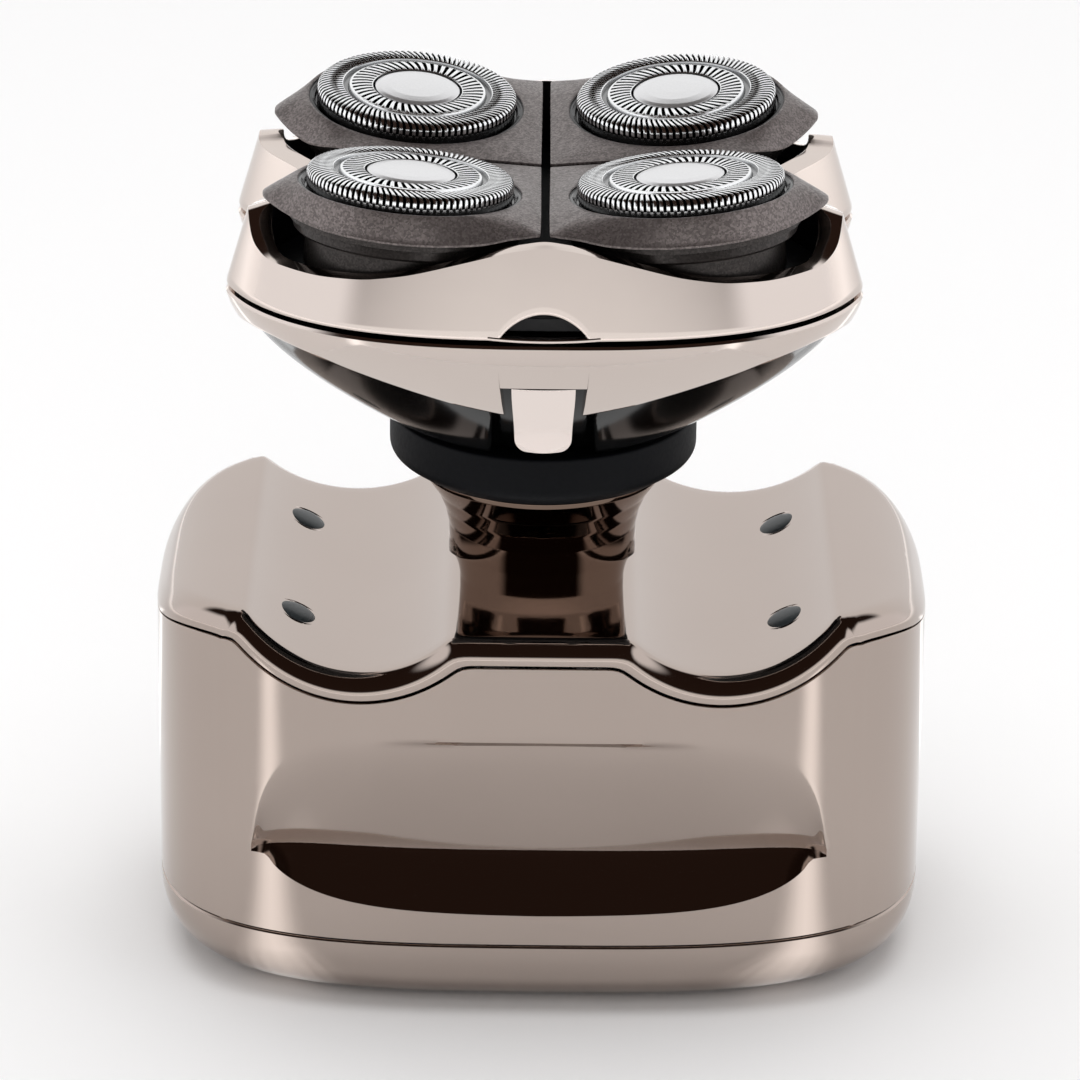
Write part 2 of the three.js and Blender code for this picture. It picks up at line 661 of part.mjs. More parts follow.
/** Plate over the gears with a hole for each drive pin. */
function gearPlate() {
  const inset = SKIRT_WALL + SHELL_WALL + 6 * GAP;
  const disc = headRing(() => PLATE_LOW, () => PLATE_HIGH, inset, 12, 1, 32);
  const middle = rod(HEAD_HALF_DEPTH - inset - 4, PLATE_LOW, PLATE_HIGH, 0, 0, 20);
  const holes = podPlaces().map(([sx, sy]) => (
    rod(DRIVE_PIN_RADIUS + RUN, 0, REACH * 2, sx * gearOffset, sy * gearOffset, 12)));
  return cut(join(disc, middle), ...holes);
}

// ---- Gears ------------------------------------------------------------------------------

/** Outline of a gear with straight-sided teeth, one of them pointing along +X at phase 0. */
function gearOutline(teeth, phase) {
  const pitch = (gearModule * teeth) / 2;
  const root = pitch - 1.05 * gearModule;
  const tip = pitch + 0.8 * gearModule;
  const step = (2 * Math.PI) / teeth;
  const corners = [[-0.3, root], [-0.11, tip], [0.11, tip], [0.3, root]];
  const shape = new THREE.Shape();
  for (let tooth = 0; tooth < teeth; tooth += 1) {
    for (const [share, radius] of corners) {
      const angle = (tooth + share + phase) * step;
      const point = [radius * Math.cos(angle), radius * Math.sin(angle)];
      if (tooth === 0 && share === corners[0][0]) shape.moveTo(...point);
      else shape.lineTo(...point);
    }
  }
  return shape;
}

/** Central gear with the long hub that the drive coupling turns. */
function centralGear() {
  const wheel = prism(gearOutline(CENTRE_TEETH, 0), GEAR_LOW, GEAR_HIGH);
  const hub = rod(6, COUPLING_LOW + 2.6, GEAR_LOW + 0.5, 0, 0, 16);
  const socketTop = COUPLING_HIGH + 1;
  const socket = rod(COUPLING_RADIUS + RUN, 0, socketTop, 0, 0, 6);
  return cut(join(wheel, hub), socket);
}

/** Outer gear with its drive pin, square at the tip. */
function cutterGear() {
  const wheel = prism(gearOutline(OUTER_TEETH, 0), GEAR_LOW, GEAR_HIGH);
  const pin = rod(DRIVE_PIN_RADIUS, GEAR_LOW - 1.5, DRIVE_PIN_TOP - 1.8, 0, 0, 12);
  const half = DRIVE_SQUARE / 2;
  return join(wheel, pin, box(-half, half, -half, half, DRIVE_PIN_TOP - 2, DRIVE_PIN_TOP));
}

// ---- Blade frame ------------------------------------------------------------------------

/** Bright rim with its wavy top edge, thumb notch at the front and hinge eye at the back. */
function rim() {
  const low = HEAD_SPLIT + 0.4;
  const wall = headRing(() => low, (angle) => wave(RIM_TOP, offCentre(angle)), 0, RIM_WALL, 1, 48);
  const notch = new THREE.Shape();
  notch.moveTo(-4.8, low - 1);
  notch.lineTo(-4.8, low + 0.4);
  notch.quadraticCurveTo(0, low + 5.6, 4.8, low + 0.4);
  notch.lineTo(4.8, low - 1);
  const depth = HEAD_HALF_DEPTH - 0.9;
  const eye = rodX(1.7, -2.8, 2.8, HINGE_Y, HINGE_Z);
  const arm = box(-2.8, 2.8, HINGE_Y - 2.6, HINGE_Y, low, HINGE_Z + 3);
  const bore = rodX(HINGE_PIN_RADIUS + GAP, -REACH, REACH, HINGE_Y, HINGE_Z);
  const lugSpace = [-1, 1].map((side) => (
    rodX(2.2, Math.min(side * 3, side * 6.6), Math.max(side * 3, side * 6.6), HINGE_Y, HINGE_Z)));
  return cut(join(wall, eye, arm), slab(notch, -REACH, -depth), bore, ...lugSpace);
}

/** Dark tray inside the rim, with a hole for each pod's sleeve. */
function podTray() {
  const inset = RIM_WALL + RIM_LEAN * 2 + GAP;
  const flat = headRing(() => TRAY_LOW, () => TRAY_LOW + TRAY_THICK, inset, 12, 1, 32);
  const middle = rod(HEAD_HALF_DEPTH - inset - 4, TRAY_LOW, TRAY_LOW + TRAY_THICK, 0, 0, 20);
  let body = join(flat, middle);
  for (const [sx, sy] of podPlaces()) {
    body = cut(body, atPod(rod(SLEEVE_RADIUS + RUN, -20, 0, 0, 0, 20), sx, sy));
  }
  return body;
}

// ---- Pods -------------------------------------------------------------------------------

/** Signs of the four pods and their names. */
function podPlaces() {
  return screwPlaces();
}

/** How a pod stands: its middle's place, and its face leaning towards the head's middle. */
function podMatrix(sx, sy) {
  const face = new THREE.Vector3(-sx * podSlope, -sy * podSlope, 1).normalize();
  const turn = new THREE.Quaternion().setFromUnitVectors(new THREE.Vector3(0, 0, 1), face);
  const place = new THREE.Vector3(sx * podCentre, sy * podCentre, POD_TOP);
  return new THREE.Matrix4().compose(place, turn, new THREE.Vector3(1, 1, 1));
}

/** A solid made about a pod's own axis, carried to one pod. */
function atPod(body, sx, sy) {
  return solid(geometryOf(body).applyMatrix4(podMatrix(sx, sy)));
}

/** Petal outline of a pod in the quarter where X and Y are both positive. */
function petal(sx, sy) {
  const inner = podCentre - POD_GAP / 2;
  const shape = new THREE.Shape();
  const at = (x, y) => [sx * x, sy * y];
  shape.moveTo(...at(-inner, -inner));
  shape.lineTo(...at(6, -inner));
  shape.lineTo(...at(11.8, -8.2));
  shape.quadraticCurveTo(...at(14, -5.4), ...at(15.6, -1.6));
  shape.quadraticCurveTo(...at(16, 0.4), ...at(14.8, 2.2));
  shape.quadraticCurveTo(...at(11.5, 7), ...at(8.9, 9.4));
  shape.quadraticCurveTo(...at(5.2, 12.6), ...at(0, 13));
  shape.quadraticCurveTo(...at(-7, 13), ...at(-inner, 11.4));
  return shape;
}

/** One pod: petal plate, boot and sleeve round an open bore. */
function pod(sx, sy) {
  const plate = prism(petal(sx, sy), PLATE_TOP - PLATE_THICK, PLATE_TOP, 3);
  const boot = rod(BOOT_RADIUS, BOOT_LOW, PLATE_TOP - 0.5, 0, 0, 20);
  const sleeve = rod(SLEEVE_RADIUS, SLEEVE_LOW, BOOT_LOW + 0.5, 0, 0, 20);
  return cut(join(plate, boot, sleeve), rod(POD_BORE, -20, 0, 0, 0, 20));
}

/** Steel guard: a shallow cup with two raised cutting tracks and a groove between. */
function guard() {
  const foot = PLATE_TOP + GAP;
  const under = -0.8;
  return turned([
    [GUARD_RADIUS - 0.7, foot],
    [GUARD_RADIUS, foot],
    [GUARD_RADIUS, -0.4],
    [GUARD_RADIUS - 0.3, 0],
    [8.5, 0],
    [8.3, -0.4],
    [7.9, -0.4],
    [7.7, 0],
    [CAP_RADIUS + GAP, 0],
    [CAP_RADIUS + GAP, under],
    [GUARD_RADIUS - 0.7, under],
  ], 20);
}

/** Low domed disc in the middle of a guard. */
function guardCap() {
  return turned([[0, -0.8], [CAP_RADIUS, -0.8], [CAP_RADIUS, 0.05], [3.4, 0.35], [0, 0.4]], 16);
}

/** Rotary cutter: a disc with upright blades and a hub with a square socket. */
function cutter() {
  const bladeTop = -0.8 - GAP;
  const disc = rod(CUTTER_RADIUS, -2.5, -2, 0, 0, 16);
  const hub = rod(2.9, -PIVOT_DEPTH - 0.6, -2.2, 0, 0, 10);
  const half = SOCKET_SQUARE / 2;
  let body = cut(join(disc, hub), box(-half, half, -half, half, -20, -PIVOT_DEPTH + 1.6));
  for (let blade = 0; blade < BLADE_COUNT; blade += 1) {
    const fin = new THREE.BoxGeometry(3.8, 0.7, bladeTop + 2.2);
    fin.translate(7.6, 0, (bladeTop - 2.2) / 2);
    fin.rotateZ((blade / BLADE_COUNT) * 2 * Math.PI);
    body = join(body, solid(fin));
  }
  return body;
}

// ---- The assembly -----------------------------------------------------------------------

const group = new THREE.Group();

/** Adds one named piece, at a place of its own if it has one. */
function add(name, body, finish, matrix) {
  const mesh = new THREE.Mesh(geometryOf(body), new THREE.MeshStandardMaterial(finish));
  mesh.name = name;
  if (matrix) mesh.applyMatrix4(matrix);
  group.add(mesh);
}

function addHandle() {
  add('bottom_cover', bottomCover(), FINISH.bronzeChrome);
  add('housing', housing(), FINISH.bronzeChrome);
  add('top_cover', topCover(), FINISH.bronzeChrome);
  for (const [sx, sy, where] of padPlaces()) {
    add(`grip_pad_${where}`, padSolid(sx, sy, 0), FINISH.rubber);
    add(`base_screw_${where}`, baseScrew(sx * SCREW_X, sy * SCREW_Y), FINISH.steel);
  }
  add('neck_sleeve', neckSleeve(), FINISH.darkChrome);
  add('neck_bearing', ring(SHAFT_RADIUS + GAP, NECK_BORE - GAP, 44, 48), FINISH.steel);
  add('neck_seal', ring(SHAFT_RADIUS + GAP, NECK_BORE - GAP, 48 + GAP, 50), FINISH.rubber);
  add('chassis', chassis(), FINISH.nylon);
  add('motor', motorCan(), FINISH.steel);
  add('battery_left', batteryCell(-1), FINISH.cell);
  add('battery_right', batteryCell(1), FINISH.cell);
  add('circuit_board', circuitBoard(), FINISH.board);
  add('button_ring', buttonRing(), FINISH.paleChrome);
  add('power_button', powerButton(), FINISH.bronzeChrome);
  add('display_lens', displayLens(), FINISH.lens);
  add('charging_socket', chargingSocket(), FINISH.mattBlack);
}

function addDrive() {
  add('motor_shaft', rod(SHAFT_RADIUS, motorLow + 2, COUPLING_HIGH - 2, 0, 0, 12), FINISH.steel);
  add('drive_coupling', driveCoupling(), FINISH.nylon);
  add('central_gear', centralGear(), FINISH.nylon);
  for (const [sx, sy, where] of podPlaces()) {
    const matrix = new THREE.Matrix4().makeTranslation(sx * gearOffset, sy * gearOffset, 0);
    add(`cutter_gear_${where}`, cutterGear(), FINISH.nylon, matrix);
  }
}

function addHead() {
  add('collar', collar(), FINISH.mattBlack);
  add('head_shell', headShell(), FINISH.glossBlack);
  add('head_skirt', headSkirt(), FINISH.paleChrome);
  add('release_tongue', releaseTongue(), FINISH.paleChrome);
  add('gear_plate', gearPlate(), FINISH.mattBlack);
  add('hinge_pin', rodX(HINGE_PIN_RADIUS, -HINGE_HALF_LENGTH, HINGE_HALF_LENGTH, HINGE_Y, HINGE_Z, 12),
    FINISH.steel);
  add('rim', rim(), FINISH.paleChrome);
  add('pod_tray', podTray(), FINISH.mattBlack);
}

function addPods() {
  const guardBody = guard();
  const capBody = guardCap();
  const cutterBody = cutter();
  for (const [sx, sy, where] of podPlaces()) {
    const matrix = podMatrix(sx, sy);
    add(`pod_${where}`, pod(sx, sy), FINISH.podPaint, matrix);
    add(`guard_${where}`, guardBody, FINISH.steel, matrix);
    add(`guard_cap_${where}`, capBody, FINISH.steel, matrix);
    add(`cutter_${where}`, cutterBody, FINISH.steel, matrix);
  }
}

addHandle();
addDrive();
addHead();
addPods();

export default group;
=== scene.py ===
# %% [markdown]
# A palm-held rotary shaver: a chromed handle for the palm, a neck, and a head with four
# sprung cutting pods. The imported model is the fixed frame, so its parts are never moved here.
# Every piece below is made in the same place as the solid it stands for, and rides on that
# solid's body, which keeps every joint working.

# %% Load the frame
import math

import bmesh
import bpy
import numpy as np
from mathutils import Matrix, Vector


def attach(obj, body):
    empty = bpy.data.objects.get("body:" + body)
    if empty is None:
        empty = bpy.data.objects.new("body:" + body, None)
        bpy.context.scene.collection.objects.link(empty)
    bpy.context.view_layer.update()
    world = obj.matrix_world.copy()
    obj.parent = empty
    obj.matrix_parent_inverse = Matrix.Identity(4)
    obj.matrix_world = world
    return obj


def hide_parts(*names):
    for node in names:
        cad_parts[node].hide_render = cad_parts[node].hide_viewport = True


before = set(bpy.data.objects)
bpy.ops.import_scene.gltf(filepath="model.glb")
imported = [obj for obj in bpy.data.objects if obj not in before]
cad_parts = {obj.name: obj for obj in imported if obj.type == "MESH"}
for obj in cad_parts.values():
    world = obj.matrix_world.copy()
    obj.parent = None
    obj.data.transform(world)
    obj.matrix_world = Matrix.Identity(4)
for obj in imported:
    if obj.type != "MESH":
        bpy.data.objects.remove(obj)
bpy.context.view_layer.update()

MM = 0.001  # every shape below is worked out in millimetres
WELD = 2e-6  # metres

# %% [markdown]
# The camera comes first, because it settles what shows. It stands in front of the shaver and
# looks down at 22 degrees, so that the tops of the guards show as flat ellipses. A long lens
# keeps the sides nearly upright, as a product is normally shown.

# %% Camera
CAMERA_DISTANCE = 0.65
CAMERA_RISE = math.radians(22.05)
CAMERA_ROLL = math.radians(0.59)
AIM = Vector((0, 0, 0.0514))
LENS_MM, SENSOR_MM, SHIFT = 193.4, 36, (-0.0024, -0.0510)

lens = bpy.data.cameras.new("camera")
lens.lens, lens.sensor_width = LENS_MM, SENSOR_MM
lens.shift_x, lens.shift_y = SHIFT
camera = bpy.data.objects.new("camera", lens)
back = Vector((0, -math.cos(CAMERA_RISE), math.sin(CAMERA_RISE)))
camera.location = AIM + back * CAMERA_DISTANCE
turn = (-back).to_track_quat("-Z", "Y").to_euler()
camera.rotation_euler = turn
camera.rotation_euler.rotate_axis("Z", CAMERA_ROLL)
bpy.context.scene.collection.objects.link(camera)
bpy.context.scene.camera = camera
bpy.context.scene.view_settings.view_transform = "Standard"
print("camera at", tuple(round(v, 4) for v in camera.location))

# %% [markdown]
# All shapes are grids of points: a row of points for each step round or across the piece.
# They could be modelled by hand with subdivision surfaces, but polished metal shows every
# unevenness, and a grid worked out from a formula has none. The helpers turn such a grid into
# a mesh, weld its seam and poles, and mark the edges that are sharper than a given angle, so
# that bright metal shades smoothly everywhere else.


# %% Grid and mesh helpers
def grid_faces(rows, columns, wrap_rows, wrap_columns):
    """Four corners for each cell between neighbouring rows and columns of a grid."""
    row = np.arange(rows if wrap_rows else rows - 1)
    column = np.arange(columns if wrap_columns else columns - 1)
    a, b = np.meshgrid(row, column, indexing="ij")
    a2, b2 = (a + 1) % rows, (b + 1) % columns
    corners = [a * columns + b, a * columns + b2, a2 * columns + b2, a2 * columns + b]
    return np.stack(corners, -1).reshape(-1, 4)


def grid(points, wrap_rows=False, wrap_columns=True, paint=None):
    """Points (rows, columns, 3) as one part: its points, its faces and a paint number a face."""
    rows, columns = points.shape[:2]
    faces = grid_faces(rows, columns, wrap_rows, wrap_columns)
    if paint is None:
        paint = np.zeros(rows, int)
    faces_a_row = columns if wrap_columns else columns - 1
    face_rows = rows if wrap_rows else rows - 1
    return points.reshape(-1, 3), faces, np.repeat(np.asarray(paint)[:face_rows], faces_a_row)


def outward_share(work):
    """Sum over the faces of area times how far the normal points away from the mesh's middle."""
    middle = sum((v.co for v in work.verts), Vector()) / len(work.verts)
    return sum(f.calc_area() * f.normal.dot(f.calc_center_median() - middle) for f in work.faces)


def piece(name, parts, body, materials, node=None, sharp=32, closed=True, mask=None):
    """One object from several grid parts, in millimetres, welded and riding on its body.

    Points closer than WELD become one, which closes seams and poles. A closed shape has its
    normals recalculated; an open skin is turned over if it faces its own middle.
    """
    counts = np.cumsum([0] + [len(p[0]) for p in parts])
    points = np.concatenate([p[0] for p in parts]) * MM
    faces = np.concatenate([p[1] + n for p, n in zip(parts, counts)])
    paint = np.concatenate([p[2] for p in parts])
    mesh = bpy.data.meshes.new(name)
    mesh.vertices.add(len(points))
    mesh.vertices.foreach_set("co", points.astype(np.float32).ravel())
    mesh.loops.add(faces.size)
    mesh.loops.foreach_set("vertex_index", faces.astype(np.int32).ravel())
    mesh.polygons.add(len(faces))
    mesh.polygons.foreach_set("loop_start", np.arange(0, faces.size, 4, dtype=np.int32))
    mesh.polygons.foreach_set("material_index", paint.astype(np.int32))
    # mask: a painted shade share for each point, kept as an attribute for the guard steel.
    if mask is not None:
        layer = mesh.attributes.new("slot_painted_shade", "FLOAT", "POINT")
        layer.data.foreach_set("value", mask.astype(np.float32).ravel())
    mesh.update(calc_edges=True)
    work = bmesh.new()
    work.from_mesh(mesh)
    bmesh.ops.remove_doubles(work, verts=work.verts, dist=WELD)
    if closed:
        bmesh.ops.recalc_face_normals(work, faces=work.faces)
    elif outward_share(work) < 0:
        bmesh.ops.reverse_faces(work, faces=work.faces)
    work.to_mesh(mesh)
    work.free()
    mesh.polygons.foreach_set("use_smooth", np.ones(len(mesh.polygons), bool))
    mesh.set_sharp_from_angle(angle=math.radians(sharp))
    for material in materials:
        mesh.materials.append(material)
    obj = bpy.data.objects.new(name, mesh)
    bpy.context.scene.collection.objects.link(obj)
    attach(obj, body)
    if node:
        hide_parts(node)
    print(name, len(mesh.polygons), "faces")
    return obj


def walled(obj, thickness):
    """A wall of this thickness in millimetres, inwards from an open skin."""
    wall = obj.modifiers.new("wall", "SOLIDIFY")
    wall.thickness, wall.offset, wall.use_even_offset = thickness * MM, -1, True
    return obj


def rounded(corners, steps=4):
    """A closed line of [a, b, radius] corners, each corner turned into an arc of its radius."""
    corner = np.array([c[:2] for c in corners], float)
    radius = np.array([c[2] if len(c) > 2 else 0 for c in corners], float)
    before, after = np.roll(corner, 1, 0) - corner, np.roll(corner, -1, 0) - corner
    length = [np.linalg.norm(v, axis=1, keepdims=True) for v in (before, after)]
    before, after = before / length[0], after / length[1]
    half = np.arccos(np.clip((before * after).sum(1), -0.9999, 0.9999)) / 2
    reach = np.minimum(radius / np.tan(half), np.minimum(*length)[:, 0] * 0.48)[:, None]
    start, end = corner + before * reach, corner + after * reach
    t = np.linspace(0, 1, steps + 1)[None, :, None]
    arc = start[:, None] * (1 - t) ** 2 + 2 * corner[:, None] * t * (1 - t) + end[:, None] * t**2
    return arc.reshape(-1, 2)


def lathe(line, turns=128, centre=(0, 0)):
    """A closed [radius, height] line carried round the upright axis through centre."""
    angle = np.linspace(0, 2 * np.pi, turns, endpoint=False)[None, :]
    r, z = line[:, :1], line[:, 1:] + 0 * angle
    points = np.stack([centre[0] + r * np.cos(angle), centre[1] + r * np.sin(angle), z], -1)
    return points


def smooth(low, high, value):
    """0 below low, 1 above high, and an S-shaped ease between them."""
    t = np.clip((value - low) / (high - low), 0, 1)
    return t * t * (3 - 2 * t)


print("grid of 3 by 4 gives", len(grid_faces(3, 4, False, True)), "faces")

# %% [markdown]
# Materials. One function turns sRGB hex values to linear light, and one adds a node with its
# settings and links. Bright metal is vacuum-metallised and lacquered ABS: a mirror in a warm
# bronze tint with faint waviness. It could be a painted-on gradient, but that would stay in
# place as the view moves. A true mirror's colour is nearly all reflection, so the light
# matters as much as the tint.


# %% Material helpers
def linear(hex_value):
    """An sRGB hex colour as linear red, green, blue and alpha."""
    value = np.array([int(hex_value[i : i + 2], 16) / 255 for i in (1, 3, 5)])
    value = np.where(value <= 0.04045, value / 12.92, ((value + 0.055) / 1.055) ** 2.4)
    return (*value.tolist(), 1.0)


def add(tree, kind, settings=None, **inputs):
    """One node with its settings and inputs, each a value or another node's output socket.

    An input is given by name, or by number as i0, i1 and so on.
    """
    node = tree.nodes.new(kind)
    for key, value in (settings or {}).items():
        setattr(node, key, value)
    for key, value in inputs.items():
        numbered = key[1:].isdigit()
        socket = node.inputs[int(key[1:]) if numbered else key.replace("_", " ")]
        if isinstance(value, bpy.types.NodeSocket):
            tree.links.new(value, socket)
        else:
            socket.default_value = value
    return node


def finish_material(name, colour, **constants):
    """A new material with a Principled shader, its flat values set on the shader's sockets."""
    material = bpy.data.materials.new(name)
    material.use_nodes = True
    tree = material.node_tree
    shader = tree.nodes["Principled BSDF"]
    shader.inputs["Base Color"].default_value = linear(colour)
    for key, value in constants.items():
        shader.inputs[key.replace("_", " ")].default_value = value
    place = add(tree, "ShaderNodeTexCoord").outputs["Object"]
    return material, tree, shader, place


def grain(tree, place, size_mm, detail=2.0):
    """Noise whose blobs are about this many millimetres across."""
    return add(tree, "ShaderNodeTexNoise", i0=place, Scale=1 / (size_mm * MM), Detail=detail)


def bump(tree, shader, height, depth_mm, share=1.0):
    """Links a height pattern to the shader's normal, as deep as this in millimetres."""
    node = add(tree, "ShaderNodeBump", Height=height, Distance=depth_mm * MM, Strength=share)
    tree.links.new(node.outputs["Normal"], shader.inputs["Normal"])


def spread(tree, value, low, high):
    """A 0 to 1 pattern stretched to run from low to high."""
    return add(tree, "ShaderNodeMapRange", Value=value, i3=low, i4=high).outputs["Result"]


def tints(tree, value, first, second):
    """Two hex colours mixed by a pattern."""
    node = add(tree, "ShaderNodeMix", {"data_type": "RGBA"}, i0=value, i6=linear(first),
               i7=linear(second))
    return node.outputs[2]


def chrome(name, colour, second, roughness):
    """Vacuum-metallised ABS under clear lacquer: a tinted mirror with faint lacquer ripple."""
    material, tree, shader, place = finish_material(name, colour, Metallic=1.0)
    cloud = grain(tree, place, 14).outputs["Fac"]
    tree.links.new(tints(tree, cloud, colour, second), shader.inputs["Base Color"])
    haze = grain(tree, place, 5, 4.0).outputs["Fac"]
    tree.links.new(spread(tree, haze, roughness * 0.8, roughness * 1.3), shader.inputs["Roughness"])
    bump(tree, shader, grain(tree, place, 9).outputs["Fac"], 0.004)
    return material


def satin(name, colour, second, roughness, size_mm, depth_mm, **constants):
    """A moulded or machined surface: two close tints, and a fine grain of the given size."""
    material, tree, shader, place = finish_material(name, colour, **constants)
    pattern = grain(tree, place, size_mm).outputs["Fac"]
    tree.links.new(tints(tree, pattern, colour, second), shader.inputs["Base Color"])
    tree.links.new(spread(tree, pattern, roughness * 0.85, roughness * 1.15),
                   shader.inputs["Roughness"])
    bump(tree, shader, pattern, depth_mm)
    return material


# %% Finishes
# Four tints of bright metal: handle, head, release tongue and neck. Each is a mirror, so its
# colour is what it reflects, warmed and dimmed by the tint. The tongue's tint is the head's
# metal made lighter: a painted highlight.
bronze = chrome("bronze_metallised_ABS", "#a99c94", "#ada098", 0.07)
pale = chrome("pale_metallised_ABS", "#c9bdb6", "#cdc2bb", 0.09)
bright = chrome("pale_metallised_ABS_painted_highlight", "#e6dad4", "#eaded8", 0.12)
umber = chrome("umber_metallised_ABS", "#6f5d52", "#756358", 0.05)
# Gloss black ABS: deep black with a clear sheen, which is why the bowl shows soft bands.
piano = satin("gloss_black_ABS", "#020202", "#050505", 0.12, 8, 0.002, IOR=1.45,
              Specular_IOR_Level=0.35)
# Soft-touch elastomer: a navy black that scatters light, with a fine moulded grain.
collar_skin = satin("soft_touch_elastomer", "#040508", "#07080c", 0.6, 0.5, 0.02, IOR=1.5,
                    Specular_IOR_Level=0.12)
# Silicone: a soft grey green with a low sheen.
rubber = satin("silicone_pad_rubber", "#2a2f31", "#363b3d", 0.42, 0.4, 0.015, IOR=1.43)
# Glass-filled nylon: matt near-black, for the inner parts. On the rim's inside the same black
# is painted shade, so the gaps between bright pieces stay dark.
black_nylon_and_shade = satin("matt_black_nylon_and_painted_shade", "#0c0c0e", "#131316", 0.55, 0.4, 0.02, IOR=1.53)
# Ground steel: a neutral silver with blurred reflections.
steel = satin("ground_stainless_steel", "#c4c6c9", "#d4d6d8", 0.28, 0.6, 0.004, Metallic=1.0)
# Acetal gears: milky ivory, slightly waxy.
nylon = satin("natural_acetal", "#dedbd0", "#e8e5db", 0.45, 1.2, 0.01, IOR=1.48)
# Cells in blue shrink wrap, and a board under green solder mask: both glossy, even colours.
wrap = satin("cell_shrink_wrap", "#3a68a0", "#4474ac", 0.35, 2.0, 0.01, IOR=1.5)
board = satin("solder_mask_green", "#1c5236", "#24603f", 0.4, 1.0, 0.01, IOR=1.5)
# Smoked window: almost black, with a sharp clear reflection.
smoked = satin("smoked_polycarbonate", "#08090b", "#0d0e10", 0.06, 6, 0.001, IOR=1.585)
# Nitrile rubber: dull dark grey.
seal = satin("nitrile_seal_rubber", "#17181a", "#1e1f21", 0.6, 0.5, 0.01, IOR=1.5)


FLAKE_MM = 0.2  # real flakes are a tenth of this, and are drawn coarser so that they show


def paint_with_flakes(name, dark, light):
    """Metallic lacquer: a brown grey with aluminium flakes, each cell lit by its own chance."""
    material, tree, shader, place = finish_material(name, dark, Metallic=0.75, Coat_Weight=0.15,
                                                    Coat_Roughness=0.3)
    flake = add(tree, "ShaderNodeTexVoronoi", Vector=place, Scale=1 / (FLAKE_MM * MM))
    chance = add(tree, "ShaderNodeSeparateColor", Color=flake.outputs["Color"]).outputs["Red"]
    lit = spread(tree, chance, -0.25, 1.0)
    tree.links.new(tints(tree, lit, dark, light), shader.inputs["Base Color"])
    tree.links.new(spread(tree, chance, 0.5, 0.36), shader.inputs["Roughness"])
    bump(tree, shader, chance, 0.004, 0.3)
    return material


def slotted_steel():
    """Etched and polished foil steel: bright bars, and slots painted with shade where they look
    into the dark cutter.
    """
    material, tree, shader, place = finish_material("etched_guard_steel", "#e6e7e8", Metallic=1.0)
    depth = add(tree, "ShaderNodeAttribute", {"attribute_name": "slot_painted_shade"}).outputs["Fac"]
    # Painted shade: slot walls, slot floors and the groove go near black by the attribute.
    tree.links.new(tints(tree, depth, "#e8e9ea", "#0a0a0b"), shader.inputs["Base Color"])
    lines = grain(tree, place, 0.5).outputs["Fac"]
    tree.links.new(spread(tree, lines, 0.14, 0.26), shader.inputs["Roughness"])
    return material


# Pod plates sparkle faintly in brown grey; the boots under them are the same paint,
# darkened as painted shade.
flakes = paint_with_flakes("anthracite_flake_paint", "#5b5452", "#7d7472")
boot_painted_shade = paint_with_flakes("anthracite_flake_paint_painted_shade", "#2a2624", "#3c3735")
foil = slotted_steel()
# Bead-blasted aluminium: pale, dull silver with a fine sparkle, as on the guards' centre caps.
blasted = satin("bead_blasted_aluminium", "#d6d6d7", "#e6e6e7", 0.32, 0.25, 0.008, Metallic=0.9)
print("materials", len(bpy.data.materials))

# %% [markdown]
# The handle's plan is a superellipse: |x/a|^p + |y/b|^p = 1, which sits between an ellipse
# and a rectangle. Its top is a line in X and Z carried from front to back: a flat deck in the
# middle, a round finger trough each side, a crest and a convex shoulder. The troughs could be
# cut with a boolean, but a cut leaves ragged faces along its edge. Here the line itself holds
# them, so the same line, lowered by a distance, is also the edge of the housing below.

# %% Handle sizes
HALF_X, HALF_Y, POWER = 43.0, 29.5, 3.2
DECK, RIDGE, SHOULDER = 44.7, 45.5, 40.0
TROUGH_X, TROUGH_Z, TROUGH_R = 20.6, 55.0, 15.0
CAP_DEPTH, SPLIT, SEAM = 2.8, 8.5, 0.15
BEAD, COVER_WALL, HOUSING_WALL = 2.3, 1.6, 1.6
CREST_FLAT, SHOULDER_CONTROL, SHOULDER_END = 1.2, 42, 44  # in x
EDGE_EASE = 0.12  # how far the housing's ends are eased, as a fine moulded edge
DECK_COLUMNS, TROUGH_COLUMNS, CREST_COLUMNS, SHOULDER_COLUMNS = 12, 46, 5, 44


def outline_y(x, inset):
    """Half depth of the plan at x: b (1 - (x/a)^p)^(1/p), with both half sizes drawn in."""
    share = np.clip(1 - (np.abs(x) / (HALF_X - inset)) ** POWER, 0, 1)
    return (HALF_Y - inset) * share ** (1 / POWER)


def soften(x, z, passes=3):
    """Rounds a line's corners by averaging each point with its neighbours."""
    for _ in range(passes):
        x[1:-1] = (x[:-2] + 2 * x[1:-1] + x[2:]) / 4
        z[1:-1] = (z[:-2] + 2 * z[1:-1] + z[2:]) / 4
    return x, z


